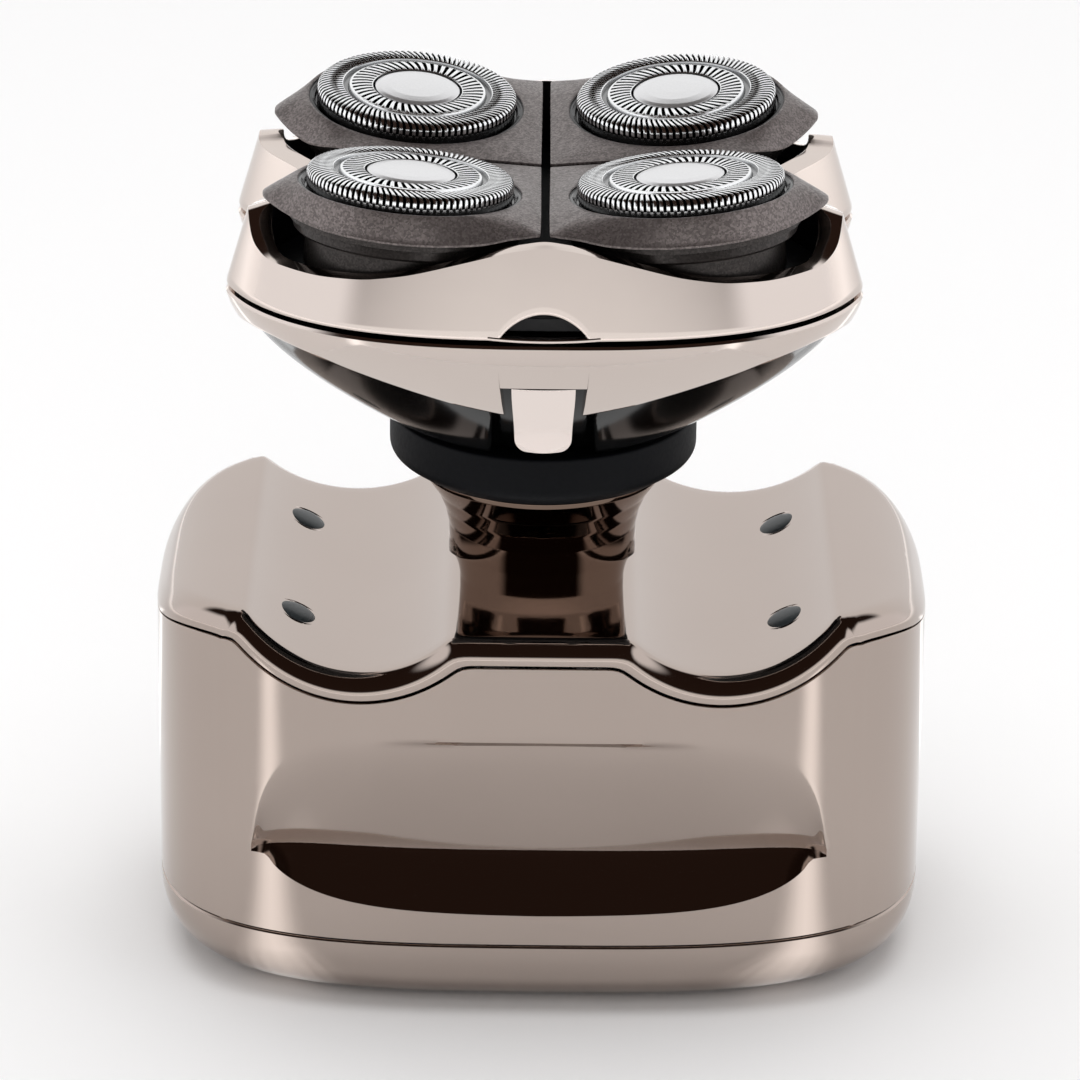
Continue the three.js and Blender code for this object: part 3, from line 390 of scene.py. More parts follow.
def deck_line(drop, inset):
    """x, half depth and z of each column on the right half, for a lowered and drawn-in line.

    The deck and crest are straight, the trough is an arc, and the shoulder is a quadratic
    curve, p0 (1-t)^2 + 2 p1 t (1-t) + p2 t^2, solved for t at each x.
    """
    radius, deck, ridge = TROUGH_R + drop, DECK - drop, RIDGE - drop
    deck_x = TROUGH_X - math.sqrt(radius**2 - (TROUGH_Z - deck) ** 2)
    crest_x = TROUGH_X + math.sqrt(radius**2 - (TROUGH_Z - ridge) ** 2)
    first = math.atan2(deck - TROUGH_Z, deck_x - TROUGH_X)
    last = math.atan2(ridge - TROUGH_Z, crest_x - TROUGH_X)
    flat = np.linspace(0, deck_x, DECK_COLUMNS, endpoint=False)
    angle = np.linspace(first, last, TROUGH_COLUMNS, endpoint=False)
    start = crest_x + CREST_FLAT
    crest = np.linspace(crest_x, start, CREST_COLUMNS, endpoint=False)
    x = np.concatenate([flat, TROUGH_X + radius * np.cos(angle), crest])
    z = np.concatenate([flat * 0 + deck, TROUGH_Z + radius * np.sin(angle), crest * 0 + ridge])
    share = np.linspace(outline_y(start, inset) / (HALF_Y - inset), 0, SHOULDER_COLUMNS)
    side_x = (HALF_X - inset) * (1 - share**POWER) ** (1 / POWER)
    a, b = start - 2 * SHOULDER_CONTROL + SHOULDER_END, 2 * (SHOULDER_CONTROL - start)
    t = (-b + np.sqrt(b * b - 4 * a * (start - side_x))) / (2 * a)
    side_z = ridge * (1 - t * t) + (SHOULDER - min(drop, 0.5) - 1) * t * t
    x, z = soften(np.concatenate([x, side_x]), np.concatenate([z, side_z]))
    y = outline_y(x, inset)
    y[-SHOULDER_COLUMNS:] = share * (HALF_Y - inset)
    return x, y, z


def across(drop, inset, lean):
    """One row from the left side to the right: lean is -1 at the front edge and 1 at the rear."""
    x, y, z = deck_line(drop, inset)
    right = np.stack([x, y * lean, z], -1)
    left = right[:0:-1] * np.array([-1, 1, 1])
    return np.concatenate([left, right])


print("deck edge row", across(0, BEAD, -1).shape)

# %% [markdown]
# The top cover is a thin moulded shell. Its rows run across from side to side. The first rows
# climb its front edge and roll over the bead, the middle ones cross the deck, the next go down
# the rear, and the last come back underneath, a wall's thickness lower. All rows end at the
# same point on each side, so the shell closes there by itself.

# %% Top cover
roll = np.linspace(0.5 * np.pi, 0, 10)
edge_rows = [(CAP_DEPTH - SEAM, 0.25), (CAP_DEPTH - SEAM - 0.15, 0.0)]
edge_rows += [(BEAD * (1 - math.cos(a)), BEAD * (1 - math.sin(a))) for a in roll]
front = [across(drop, inset, -1) for drop, inset in edge_rows]
rear = [across(drop, inset, 1) for drop, inset in edge_rows[::-1]]
middle = [across(0, BEAD, lean) for lean in np.linspace(-1, 1, 40)[1:-1]]
inside = [across(CAP_DEPTH - SEAM, COVER_WALL, 1), across(COVER_WALL, BEAD + 0.6, 1)]
inside += [across(COVER_WALL, BEAD + 0.6, lean) for lean in np.linspace(1, -1, 12)[1:]]
inside += [across(CAP_DEPTH - SEAM, COVER_WALL, -1)]
cover_points = np.array(front + middle + rear + inside)
piece("top_cover_skin", [grid(cover_points, wrap_rows=True, wrap_columns=False)], "handle",
      [bronze], "top_cover")

# %% [markdown]
# The housing is the same outline dropped straight down. Its front has a finger scoop: a soft
# hollow above a crease, and a short shelf under it that climbs back out. A sculpted dent in an
# even grid would blur the crease. Four bands of rows therefore follow the scoop's lower edge,
# crease and upper edge, so that the crease stays crisp. Solidify gives the wall.

# %% Housing
SCOOP_HALF, SCOOP_LOW, CREASE, SCOOP_HIGH, SCOOP_DEPTH = 31.5, 12.2, 18.2, 33.4, 4.3
BAND_ROWS = (8, 16, 44, 10)
LIP, LIP_HALF = 0.2, 18  # share of the depth in a sharp lip at the top, and its half width
SOFT_TOP = 0.22  # how far the slope's top is rounded, as a share of its height
SHELF_SHARE = 0.95  # the shelf is this much narrower than the hollow above it


def scoop_edges(x):
    """Lower and upper edge of the scoop at x: both close on the crease at its two ends."""
    u = np.clip(np.abs(x) / SCOOP_HALF, 0, 1)
    shelf = np.clip(u / SHELF_SHARE, 0, 1)
    low = CREASE - (CREASE - SCOOP_LOW) * (1 - shelf**5) ** 0.6 * (1 - 0.18 * u**1.5)
    high = CREASE + (SCOOP_HIGH - CREASE) * (1 - u**7) ** 0.5
    back_out = smooth(1.0, 1.12, np.abs(x) / SCOOP_HALF)
    low = np.minimum(low, CREASE - 0.3) * (1 - back_out) + SCOOP_LOW * back_out
    high = np.maximum(high, CREASE + 0.5) * (1 - back_out) + SCOOP_HIGH * back_out
    return low, high


def scoop_depth(x, z, low, high):
    """How far the front is pressed in: deepest at the crease, nearly straight above, steep below.

    Above, the share is a hyperbola, sqrt((1-u)^2 + s^2) less s: a straight slope that rounds
    off softly as it meets the front. Below it is 1 - d^1.2.
    """
    u = np.clip(np.abs(x) / SCOOP_HALF, 0, 1)
    deep = SCOOP_DEPTH * (1 - u**7) ** 0.6
    up = np.clip((z - CREASE) / (high - CREASE), 0, 1)
    down = np.clip((CREASE - z) / (CREASE - low), 0, 1)
    lip = LIP * np.clip(1 - (x / LIP_HALF) ** 2, 0, 1)
    slope = (np.hypot(1 - up, SOFT_TOP) - SOFT_TOP) / (math.hypot(1, SOFT_TOP) - SOFT_TOP)
    above = (1 - lip) * slope
    above = above + lip * (1 - smooth(0.925, 0.985, up))
    below = 1 - down**1.2
    return deep * np.where(z >= CREASE, above, below)


def housing_half(lean):
    """Front or rear half of the housing, rows from the base joint up to the top cover."""
    top = across(CAP_DEPTH, 0, lean)
    x, y, high_z = top[:, 0], top[:, 1], top[:, 2]
    low, high = scoop_edges(x)
    marks = np.stack([0 * x + SPLIT + SEAM / 2, low, 0 * x + CREASE, high, high_z])
    steps = np.concatenate([np.linspace(i, i + 1, n, endpoint=False)
                            for i, n in enumerate(BAND_ROWS)] + [[len(BAND_ROWS)]])
    span = np.minimum(steps.astype(int), len(BAND_ROWS) - 1)
    share = (steps - span)[:, None]
    z = marks[span] * (1 - share) + marks[span + 1] * share
    pressed = scoop_depth(x, z, low, high) if lean < 0 else 0 * z
    return np.stack([x + 0 * z, y + pressed, z], -1)


def edge_turn(rows):
    """Draws in the first and last rows by about an eighth of a millimetre, so edges are eased."""
    shrink = np.array([0.997, 0.996, 1])
    return np.concatenate([rows[:1] * shrink, rows[:1] + [0, 0, EDGE_EASE], rows[1:-1],
                           rows[-1:] - [0, 0, EDGE_EASE], rows[-1:] * shrink])


loop = np.concatenate([housing_half(-1), housing_half(1)[:, ::-1]], axis=1)
housing_skin = piece("housing_skin", [grid(edge_turn(loop))], "handle",
                     [bronze], "housing", closed=False)
walled(housing_skin, HOUSING_WALL)

# %% [markdown]
# The base cover is a shallow tray with a 7.5 mm round edge. It is one line, from the middle of
# the floor out over the round edge and lip and back inside, carried round the superellipse.
# Bevelling a cut block would do for a plain box, but this way the round edge keeps one radius
# all the way round the changing curve of the plan.

# %% Base cover
BASE_ROUND = 7.5


def plan_radius(angle, half_x, half_y, power):
    """Radius of a superellipse at an angle."""
    x, y = np.abs(np.cos(angle) / half_x), np.abs(np.sin(angle) / half_y)
    return (x**power + y**power) ** (-1 / power)


def plan_loop(line, turns=360):
    """A line of [inset, height] carried round the handle's plan; a large inset is the axis."""
    angle = np.linspace(0, 2 * np.pi, turns, endpoint=False)
    rows = []
    for inset, z in line:
        r = plan_radius(angle, HALF_X - inset, HALF_Y - inset, POWER) if inset < 25 else 0 * angle
        rows.append(np.stack([r * np.cos(angle), r * np.sin(angle), z + 0 * angle], -1))
    return np.array(rows)


turned = np.linspace(0, np.pi / 2, 14)
base_line = [(30, 0.0), (20, 0.0)]
base_line += [(BASE_ROUND * (1 - math.sin(a)), BASE_ROUND * (1 - math.cos(a))) for a in turned]
base_line += [(0, SPLIT - SEAM / 2 - 0.2), (0.2, SPLIT - SEAM / 2), (1.8, SPLIT - SEAM / 2),
              (2.0, 7.8), (BASE_ROUND * 0.8, 2.2), (20, 2.0), (30, 2.0)]
piece("base_cover_skin", [grid(plan_loop(base_line))], "handle", [bronze],
      "bottom_cover")

# %% [markdown]
# The neck is a metallised sleeve that opens like a trumpet under the collar. The collar is a
# soft moulded ring, matt navy black, with a rounded lower edge. Both are turned shapes, so a
# closed line with rounded corners, carried round the upright axis, is all they need.

# %% Neck and collar
neck_line = rounded([(8.4, 40.7), (10.5, 40.7, 0.2), (10.5, 47.4, 0.4), (10.95, 49.4, 3),
                     (11.8, 51.4, 3), (13.6, 54.0, 0.3), (13.6, 54.6, 0.2), (9.5, 54.6, 0.2),
                     (9.5, 58, 0.3), (8.4, 58, 0.2)], 6)
piece("neck_sleeve_skin", [grid(lathe(neck_line, 192), wrap_rows=True)], "handle",
      [umber], "neck_sleeve")
collar_line = rounded([(10, 54.9, 0.3), (14.6, 54.9, 1.5), (17.1, 56.6, 1.6), (17.1, 61.2, 0.4),
                       (10, 61.2, 0.3)], 7)
piece("collar_skin", [grid(lathe(collar_line, 192), wrap_rows=True)], "collar",
      [collar_skin], "collar")

# %% [markdown]
# The head's plan is a superellipse with a hollow in each side. Below the joint the outline
# shrinks to a circle on the collar, and above it the walls lean in. Separate curves for each
# piece could drift apart at the joints, so one function gives the plan at every height. Every
# head piece is then a closed line of insets and heights, carried round that plan.

# %% Head sizes and plan
HEAD_X, HEAD_Y, HEAD_POWER = 36.2, 31.2, 2.65
WAIST, WAIST_HALF, HEAD_LOW, HEAD_LOW_R, JOINT = 7.5, 15.0, 61.5, 18.0, 79.9
FLARE, LEAN = 1.6, 0.27
RIM_TOP = ([0, 8, 18, 27, 35, 44, 56, 62, 67, 72, 90],
           [90.1, 89.5, 88.1, 86.7, 85.8, 85.4, 85.4, 86.6, 89.4, 88.3, 88.1])
SKIRT_LOW = ([0, 9, 20, 35, 47, 54, 62, 75, 90],
             [69.4, 69.8, 71.3, 74.2, 76.3, 77.0, 76.8, 75.2, 74.5])


def off_centre(angle):
    """Degrees off the nearest of front and rear."""
    return np.degrees(np.arctan2(np.abs(np.cos(angle)), np.abs(np.sin(angle))))


def through(marks, degrees):
    """A smooth line through the marks: a running mean of straight spans."""
    fine = np.arange(-90, 181, 0.5)
    mirrored = np.where(fine < 0, -fine, np.where(fine > 90, 180 - fine, fine))
    value = np.interp(mirrored, *marks)
    kernel = np.hanning(17)
    value = np.convolve(value, kernel / kernel.sum(), mode="same")
    return np.interp(degrees, fine, value)


def head_plan(angle, inset):
    """Plan radius at the joint, less a cosine-shaped waist near each side."""
    r = plan_radius(angle, HEAD_X - inset, HEAD_Y - inset, HEAD_POWER)
    along = np.minimum(np.abs(r * np.sin(angle)) / WAIST_HALF, 1)
    return r - WAIST * np.cos(along * np.pi / 2) ** 2 * np.abs(np.cos(angle))


def head_radius(angle, z, inset):
    """Above the joint the plan leans in; below it eases to a circle at the collar."""
    upper = head_plan(angle, inset + LEAN * np.maximum(z - JOINT, 0))
    share = np.clip((z - HEAD_LOW) / (JOINT - HEAD_LOW), 0, 1)
    opened = 1 - (1 - share) ** FLARE
    lower = HEAD_LOW_R - inset + (head_plan(angle, inset) - HEAD_LOW_R + inset) * opened
    return np.where(z >= JOINT, upper, lower)


def head_loop(angle, insets, heights, dent=0):
    """Grid of points from insets and heights, each a number or a value per angle."""
    inset = np.array([i + 0 * angle for i in insets])
    z = np.array([h + 0 * angle for h in heights])
    r = head_radius(angle[None], z, inset) - dent
    return np.stack([r * np.cos(angle), r * np.sin(angle), z], -1)


even = np.linspace(0, 2 * np.pi, 480, endpoint=False)
print("waist half width", round(float(head_plan(np.array([0.0]), 0)[0]), 2))

# %% [markdown]
# The bowl is gloss black and closes on a ring round the collar. A shallow teardrop hollow
# sits under each pod, where fingers would rest. The bright skirt covers its upper half and
# ends in a wavy edge. At the front the skirt is slit on both sides of a springy tongue, and
# the bowl is pressed in behind it, so that the tongue has room to flex. Cutting the slits
# would need booleans, so the skirt's edge simply rises between two close pairs of columns,
# and the tongue is a strip of its own.

# %% Bowl, skirt and tongue
SKIRT_WALL, SHELL_WALL = 1.0, 2.0
HOLLOW_DEPTH, HOLLOW_MIDDLE, HOLLOW_SPREAD = 1.5, 38, 30
bowl_inset = SKIRT_WALL + SEAM
TONGUE_HALF, TONGUE_LOW, TONGUE_HIGH, TONGUE_SWEEP, SLIT_X = 3.4, 65.8, 73.7, 2.3, 4.9

shares = np.linspace(0, 1, 26)
bowl_heights = HEAD_LOW + (JOINT - 0.4 - HEAD_LOW) * shares
hollow = (1 - np.abs(off_centre(even) - HOLLOW_MIDDLE) / HOLLOW_SPREAD).clip(0, 1)
hollow = HOLLOW_DEPTH * smooth(0, 1, hollow)[None] * np.sin(np.pi * shares)[:, None] ** 2
bowl_outer = head_loop(even, [bowl_inset] * 26, bowl_heights, hollow)
tongue_bed = np.clip(1 - np.abs(bowl_outer[..., 0]) / 6.0, 0, 1)
tongue_bed = smooth(0.02, 0.25, tongue_bed) * (bowl_outer[..., 1] < 0)
bowl_outer[..., 1] += 2.0 * tongue_bed * (1 - smooth(73.5, 75.5, bowl_outer[..., 2]))
bowl_inner = head_loop(even, [bowl_inset + SHELL_WALL + 0.6] * 12,
                       np.linspace(JOINT - 0.4, HEAD_LOW + 2, 12))
bowl_hub = [np.stack([r * np.cos(even), r * np.sin(even), z + 0 * even], -1)
            for r, z in ((8.3, HEAD_LOW + 2), (8.3, HEAD_LOW))]
bowl = np.concatenate([bowl_outer, bowl_inner, np.array(bowl_hub)])
piece("bowl_skin", [grid(bowl, wrap_rows=True)], "head", [piano], "head_shell")

step_angle = math.asin(SLIT_X / HEAD_Y)
front_angles = 1.5 * np.pi + np.array([-1.012, -1, 1, 1.012]) * step_angle
skirt_angle = np.unique(np.concatenate([even, front_angles]))
near_front = np.abs(skirt_angle - 1.5 * np.pi) < step_angle * 1.006
skirt_edge = np.where(near_front, TONGUE_HIGH + 0.35, through(SKIRT_LOW, off_centre(skirt_angle)))
skirt_top = JOINT - 0.3
skirt_insets, skirt_heights = [0.3, 0.06, 0.0], [skirt_edge, skirt_edge + 0.08, skirt_edge + 0.3]
for share in np.linspace(0, 1, 14)[1:]:
    skirt_insets.append(0.0)
    skirt_heights.append(skirt_edge + 0.3 + (skirt_top - 0.6 - skirt_edge) * share)
skirt_insets += [0.25, 0.95, 1.0, 1.0]
skirt_heights += [skirt_top, skirt_top, skirt_top - 0.2, skirt_edge]
skirt_part = grid(head_loop(skirt_angle, skirt_insets, skirt_heights), wrap_rows=True)


def tongue_strip():
    """A strip from the skirt's slope at its root to upright at its lower end, which is rounded."""
    s = np.linspace(-1, 1, 25)[None, :]
    z = np.concatenate([TONGUE_LOW + 1.6 * (1 - np.cos(np.linspace(0, np.pi / 2, 9))),
                        np.linspace(TONGUE_LOW + 1.6, TONGUE_HIGH + 0.2, 24)[1:]])[:, None]
    close = np.clip((TONGUE_LOW + 1.6 - z) / 1.6, 0, 1)
    width = TONGUE_HALF * (0.9 + 0.1 * smooth(67, 73.7, z)) - 1.5 * (1 - np.sqrt(1 - close**2))
    root = -float(head_radius(np.array([1.5 * np.pi]), np.array([TONGUE_HIGH]), 0)[0])
    down = (TONGUE_HIGH - z) / (TONGUE_HIGH - TONGUE_LOW)
    swept = TONGUE_SWEEP * (1 - (1 - down) ** 2) * (down > 0)
    y = root + swept + 0.6 * np.minimum(down, 0) + 0.3 * s**2
    rings = [np.stack([s * width, y + drawn, z + 0 * s], -1) for drawn in (0.0, SKIRT_WALL)]
    return np.concatenate([rings[0], rings[1][:, ::-1]], axis=1)


tongue = tongue_strip()
low_end = np.stack([tongue[0] * 0 + tongue[0].mean(0), tongue[0]])
high_end = np.stack([tongue[-1], tongue[-1] * 0 + tongue[-1].mean(0)])
tongue_parts = [grid(tongue), grid(low_end), grid(high_end)]
# The tongue takes the lighter tint, a painted highlight on the head's metal.
piece("tongue_skin", tongue_parts, "tongue", [bright], "release_tongue")

# %% [markdown]
# The hinge at the back has two lugs on the skirt, and an eye between them on the rim, all
# round one steel pin. Cylinders joined to blocks would leave a seam at each foot, so each is
# one outline in Y and Z, eye and foot together, carried along X with eased ends.

# %% Hinge parts
HINGE_Y, HINGE_Z = 31.8, 80.0


def along_x(outline, stations):
    """A closed outline of (y, z) at several x, shrunk about its middle by a share at each."""
    middle = outline.mean(0)
    rows = [np.column_stack([np.full(len(outline), x), middle + (outline - middle) * share])
            for x, share in stations]
    return grid(np.array(rows))


def eye_outline(foot_low, foot_high, foot_y):
    """A round eye about the pin, drawn out to a foot on the shell."""
    angle = np.linspace(0, 2 * np.pi, 28, endpoint=False)
    y, z = HINGE_Y + 1.7 * np.cos(angle), HINGE_Z + 1.7 * np.sin(angle)
    toward = z < HINGE_Z - 0.3 if foot_low < HINGE_Z - 2 else z > HINGE_Z + 0.3
    z = np.where(toward, np.clip((z - HINGE_Z) * 2.2 + HINGE_Z, foot_low, foot_high), z)
    y = np.where(toward, np.minimum(y, foot_y + 2.0), y)
    return np.column_stack([y, z])


ends = ((0.0, 0.0), (0.0, 0.9), (0.2, 1.0), (2.3, 1.0), (2.5, 0.9), (2.5, 0.0))
lug = eye_outline(HINGE_Z - 3.6, HINGE_Z + 1.7, HINGE_Y - 1.4)
lugs = [along_x(lug, [(side * 3.4 + side * x, share) for x, share in ends]) for side in (-1, 1)]
piece("skirt_skin", [skirt_part, *lugs], "head", [pale], "head_skirt")

# %% [markdown]
# The rim is the bright upper band. Its top edge is a wave: high at the front, low under each
# pod, and high again in a sharp ear beside each waist. A facet along the top catches the
# light, and a small notch at the front lets a thumb nail lift the frame. Cutting the wave
# out of a plain band would leave a rough edge. Here every row of the grid bends with it, so
# the facet keeps its width and the reflections run on smoothly.

# %% Rim
RIM_WALL, NOTCH_HALF, NOTCH_TOP = 1.6, 4.8, 2.7
# The rim's inside, from this row on, takes the matt black: painted shade in the gap round the pods.
RIM_SHADED_ROW = 18  # rows from here on are the rim's matt black lining
rim_angle = np.unique(np.concatenate([even, 1.5 * np.pi + np.linspace(-0.2, 0.2, 81)]))
rim_x = head_plan(rim_angle, 0) * np.cos(rim_angle)
in_front = np.sin(rim_angle) < 0
lift = np.clip(1 - (rim_x / NOTCH_HALF) ** 2, 0, 1) ** 0.8 * NOTCH_TOP * in_front
rim_low = JOINT + 0.25 + lift
rim_high = through(RIM_TOP, off_centre(rim_angle))
facet = 1.25 + 1.1 * smooth(52, 66, off_centre(rim_angle))
fall = 0.22 * facet
rim_insets = [0.9, 0.3, 0.05, 0.0]
rim_heights = [rim_low, rim_low, rim_low + 0.12, rim_low + 0.35]
for share in np.linspace(0, 1, 12)[1:]:
    rim_insets.append(0.0)
    rim_heights.append(rim_low + 0.35 + (rim_high - fall - rim_low - 0.35) * share)
rim_insets += [0.35 * facet, 0.7 * facet, 0.95 * facet, facet, facet]
rim_heights += [rim_high - 0.6 * fall, rim_high - 0.2 * fall, rim_high, rim_high - 0.05,
                rim_high - 0.9]
rim_insets += [np.maximum(facet, RIM_WALL) + 0.01, RIM_WALL + 0 * facet]
rim_heights += [rim_high - 1.6, rim_low + 0.3]
rim_paint = np.zeros(len(rim_insets), int)
rim_paint[RIM_SHADED_ROW:] = 1
rim_part = grid(head_loop(rim_angle, rim_insets, rim_heights), wrap_rows=True, paint=rim_paint)
lip_angle = 1.5 * np.pi + np.linspace(-0.19, 0.19, 60)
lip_bow = 0.25 * (1 - np.linspace(-1, 1, 60) ** 2)
lip_rows = [(0.0, JOINT + 0.4), (-0.05, JOINT + 0.55), (0.0, JOINT + 0.75), (0.8, JOINT + 0.75),
            (0.8, JOINT + 0.4)]
lip = head_loop(lip_angle, [i for i, _ in lip_rows], [h - lip_bow for _, h in lip_rows])
lip_core = lip.mean(0, keepdims=True) + 0 * lip
lip = np.concatenate([lip_core[:, :1], lip, lip_core[:, -1:]], axis=1)
lip_part = grid(lip, wrap_rows=True, wrap_columns=False)
eye = eye_outline(HINGE_Z - 1.7, HINGE_Z + 3.4, HINGE_Y - 1.7)
eye_ends = ((-2.8, 0.0), (-2.8, 0.9), (-2.6, 1.0), (2.6, 1.0), (2.8, 0.9), (2.8, 0.0))
piece("rim_skin", [rim_part, lip_part, along_x(eye, eye_ends)], "blade_frame",
      [pale, black_nylon_and_shade], "rim")

# %% [markdown]
# The four pods are alike but mirrored. A pod's plate is a petal outline. Its surface starts
# at a gloss black ring round the guard, rises to a soft lip, slopes down to the petal's edge,
# rolls under, and goes down as a round boot and a narrower sleeve. A petal could be lofted
# from curves, but a distance along each ray from the pod's axis lets the round inside and the
# petal outside share one grid.

# %% Pod places
POD_X, POD_TOP, POD_TILT = 14.4, 93.3, math.radians(4.5)
CORNERS = {"front_left": (-1, -1), "front_right": (1, -1), "rear_left": (-1, 1),
           "rear_right": (1, 1)}
SEAT_ROWS, BOOT_ROW = 5, 17  # the first rows are the gloss black seat, the last the boot


def at_pod(points, sx, sy):
    """Points about a pod's own axis, leaned towards the head's middle and carried to its place."""
    normal = np.array([-sx * math.tan(POD_TILT), -sy * math.tan(POD_TILT), 1.0])
    normal /= np.linalg.norm(normal)
    axis = np.array([-normal[1], normal[0], 0.0])
    sine = np.linalg.norm(axis)
    axis /= sine
    cosine = normal[2]
    cross = np.cross(axis, points)
    along = (points @ axis)[..., None] * axis
    turned_points = points * cosine + cross * sine + along * (1 - cosine)
    return turned_points + np.array([sx * POD_X, sy * POD_X, POD_TOP])


def curve(start, control, end, steps=8):
    """Points on a quadratic curve, without its last."""
    t = np.linspace(0, 1, steps, endpoint=False)[:, None]
    start, control, end = (np.array(p, float)[None] for p in (start, control, end))
    return start * (1 - t) ** 2 + 2 * control * t * (1 - t) + end * t**2


def petal_radius(angle, sx, sy):
    """Distance from the pod's axis to its petal outline, found along each ray."""
    inner = POD_X - 0.25
    line = [(-inner, -inner), (6, -inner), (11.8, -8.2)]
    spans = [curve(line[0], (0, -inner), line[1], 14), curve(line[1], (9.4, -11.6), line[2], 8),
             curve(line[2], (14, -5.4), (15.6, -1.6)), curve((15.6, -1.6), (16, 0.4), (14.8, 2.2)),
             curve((14.8, 2.2), (11.5, 7), (8.9, 9.4)), curve((8.9, 9.4), (5.2, 12.6), (0, 13)),
             curve((0, 13), (-7, 13), (-inner, 11.4)),
             curve((-inner, 11.4), (-inner, 0), (-inner, -inner), 14)]
    points = np.concatenate(spans) * np.array([sx, sy])
    bearing = np.arctan2(points[:, 1], points[:, 0])
    order = np.argsort(bearing)
    return np.interp(angle, bearing[order], np.linalg.norm(points, axis=1)[order],
                     period=2 * np.pi)


def pod_points(sx, sy):
    """Closed rows of one pod, from the guard's seat over the lip and edge, down and back up."""
    angle = np.linspace(-np.pi, np.pi, 240, endpoint=False)
    petal = petal_radius(angle, sx, sy)
    petal = np.maximum(petal, 13.0)
    inward = -(sx * np.cos(angle) + sy * np.sin(angle)) / math.sqrt(2)
    flat = smooth(-0.25, 0.45, inward)
    edge = (-4.5 + 0.3 * (petal - 13)).clip(-4.5, -3.5) * (1 - flat) - 1.95 * flat
    rows = [(10.1, -2.4), (11.25, -2.4), (11.4, -2.0), (11.7, -1.8), (11.95, -1.85), (12.0, -1.7),
            (12.1, -1.6), (12.3, -1.58)]
    points = [(r + 0 * petal, z + 0 * petal) for r, z in rows]
    reach = petal - 12.3
    for share in np.linspace(0, 1, 9)[1:]:
        fall = share ** 1.25
        points.append((12.3 + (reach - 0.06) * share, -1.58 + (edge + 1.58) * fall))
    under = np.minimum(petal - 0.5, 13.0)
    points += [(petal, edge - 0.08), (petal, edge - 0.3), (petal - 0.08, edge - 0.36),
               (under, edge - 0.42), (under, np.minimum(edge - 1.0, -5.0)),
               (under - 0.15, np.minimum(edge - 1.05, -5.3)), (under - 0.6, -5.4 + 0 * petal),
               (12.2 + 0 * petal, -6.5 + 0 * petal), (11.9 + 0 * petal, -6.8 + 0 * petal),
               (10.8 + 0 * petal, -6.9 + 0 * petal), (10.8 + 0 * petal, -10.5 + 0 * petal),
               (10.0 + 0 * petal, -10.6 + 0 * petal)]
    r = np.array([p[0] for p in points])
    z = np.array([p[1] + 0 * petal for p in points])
    return np.stack([r * np.cos(angle), r * np.sin(angle), z], -1)


print("petal reach at the front", round(float(petal_radius(-np.pi / 2, -1, -1)), 2), "mm")

# %% [markdown]
# A guard is a shallow steel cup with two raised tracks, one ring inside the other, and a
# groove between, darkened as painted shade. Slots through the tracks let hair in. Each slot is
# seven columns of the ring's grid: a bar with a rounded top, the slot's edge, its sunken floor
# and its other edge. The outer slots run over the rim of the cup and down its side. A bump or
# a picture of slots would look flat from low down, and real slots are what catch the light, so
# they are cut in the mesh. An attribute paints shade on their walls and floors, which look into
# the dark cutter.

# %% Guards and caps
INNER_SLOTS, OUTER_SLOTS, BAR_CROWN = 48, 96, 0.06
# Radius, height, slot depth and slant of each row, from the inside over the top and back.
INNER_TRACK = [
    (5.0, -0.45, 0, 0), (5.0, -0.05, 0, 0), (5.1, 0.0, 0, 0), (5.15, 0.0, 0.5, 0.0),
    (5.8, 0.05, 0.5, 0.03), (6.6, 0.05, 0.5, 0.07), (7.3, 0.0, 0.5, 0.1), (7.35, 0.0, 0, 0.1),
    (7.6, -0.06, 0, 0.1), (7.7, -0.25, 0, 0.1), (7.7, -1.2, 0, 0.1), (5.1, -1.2, 0, 0)]
OUTER_TRACK = [
    (7.74, -1.0, 0, 0), (7.76, -0.5, -1, 0), (8.25, -0.5, -1, 0), (8.33, -0.06, 0, 0),
    (8.42, 0.0, 0, 0), (8.45, 0.0, 0.6, 0.0), (9.2, 0.05, 0.6, 0.03), (10.0, 0.03, 0.6, 0.07),
    (10.7, -0.1, 0.6, 0.1), (11.0, -0.35, 0.5, 0.11), (11.1, -0.7, 0.45, 0.11),
    (11.1, -1.2, 0.4, 0.11), (11.1, -1.25, 0, 0.11), (11.1, -2.05, 0, 0.11), (10.95, -2.1, 0, 0.11),
    (10.3, -2.1, 0, 0.11), (10.2, -1.2, 0, 0.11), (7.8, -1.2, 0, 0)]
SLOT_COLUMNS = np.array([0.0, 0.25, 0.5, 0.51, 0.56, 0.94, 0.99])
SLOT_SUNK = np.array([0, 0, 0, 0, 1, 1, 0])
# Slot columns painted with shade: the slot's two edges and its floor.
SLOT_PAINTED_SHADE = np.array([0, 0, 0, 1, 1, 1, 1])
SLOT_CROWN = np.array([0, 1, 0, 0, 0, 0, 0])


def guard_track(rows, slots):
    """The rows carried round, seven columns a slot, with the slots' floors pushed inwards."""
    radius, height, depth, slant = (column[:, None] for column in np.array(rows).T)
    angle = ((np.arange(slots)[:, None] + SLOT_COLUMNS) / slots * 2 * np.pi).ravel()[None] + slant
    sunk, dark, crown = (np.tile(v, slots)[None] for v in (SLOT_SUNK, SLOT_PAINTED_SHADE, SLOT_CROWN))
    groove, depth = depth < 0, np.maximum(depth, 0)
    side = smooth(10.2, 11.1, radius) * (depth > 0)
    proud = BAR_CROWN * crown * (depth > 0) - depth * sunk
    r = radius + proud * side
    z = height + proud * (1 - side * 0.7)
    # Painted shade share: full on slot edges and floors, three quarters in the groove between the
    # tracks.
    mask = np.maximum((depth > 0) * dark, 0.75 * groove)
    return np.stack([r * np.cos(angle), r * np.sin(angle), z + 0 * angle], -1), mask + 0 * angle


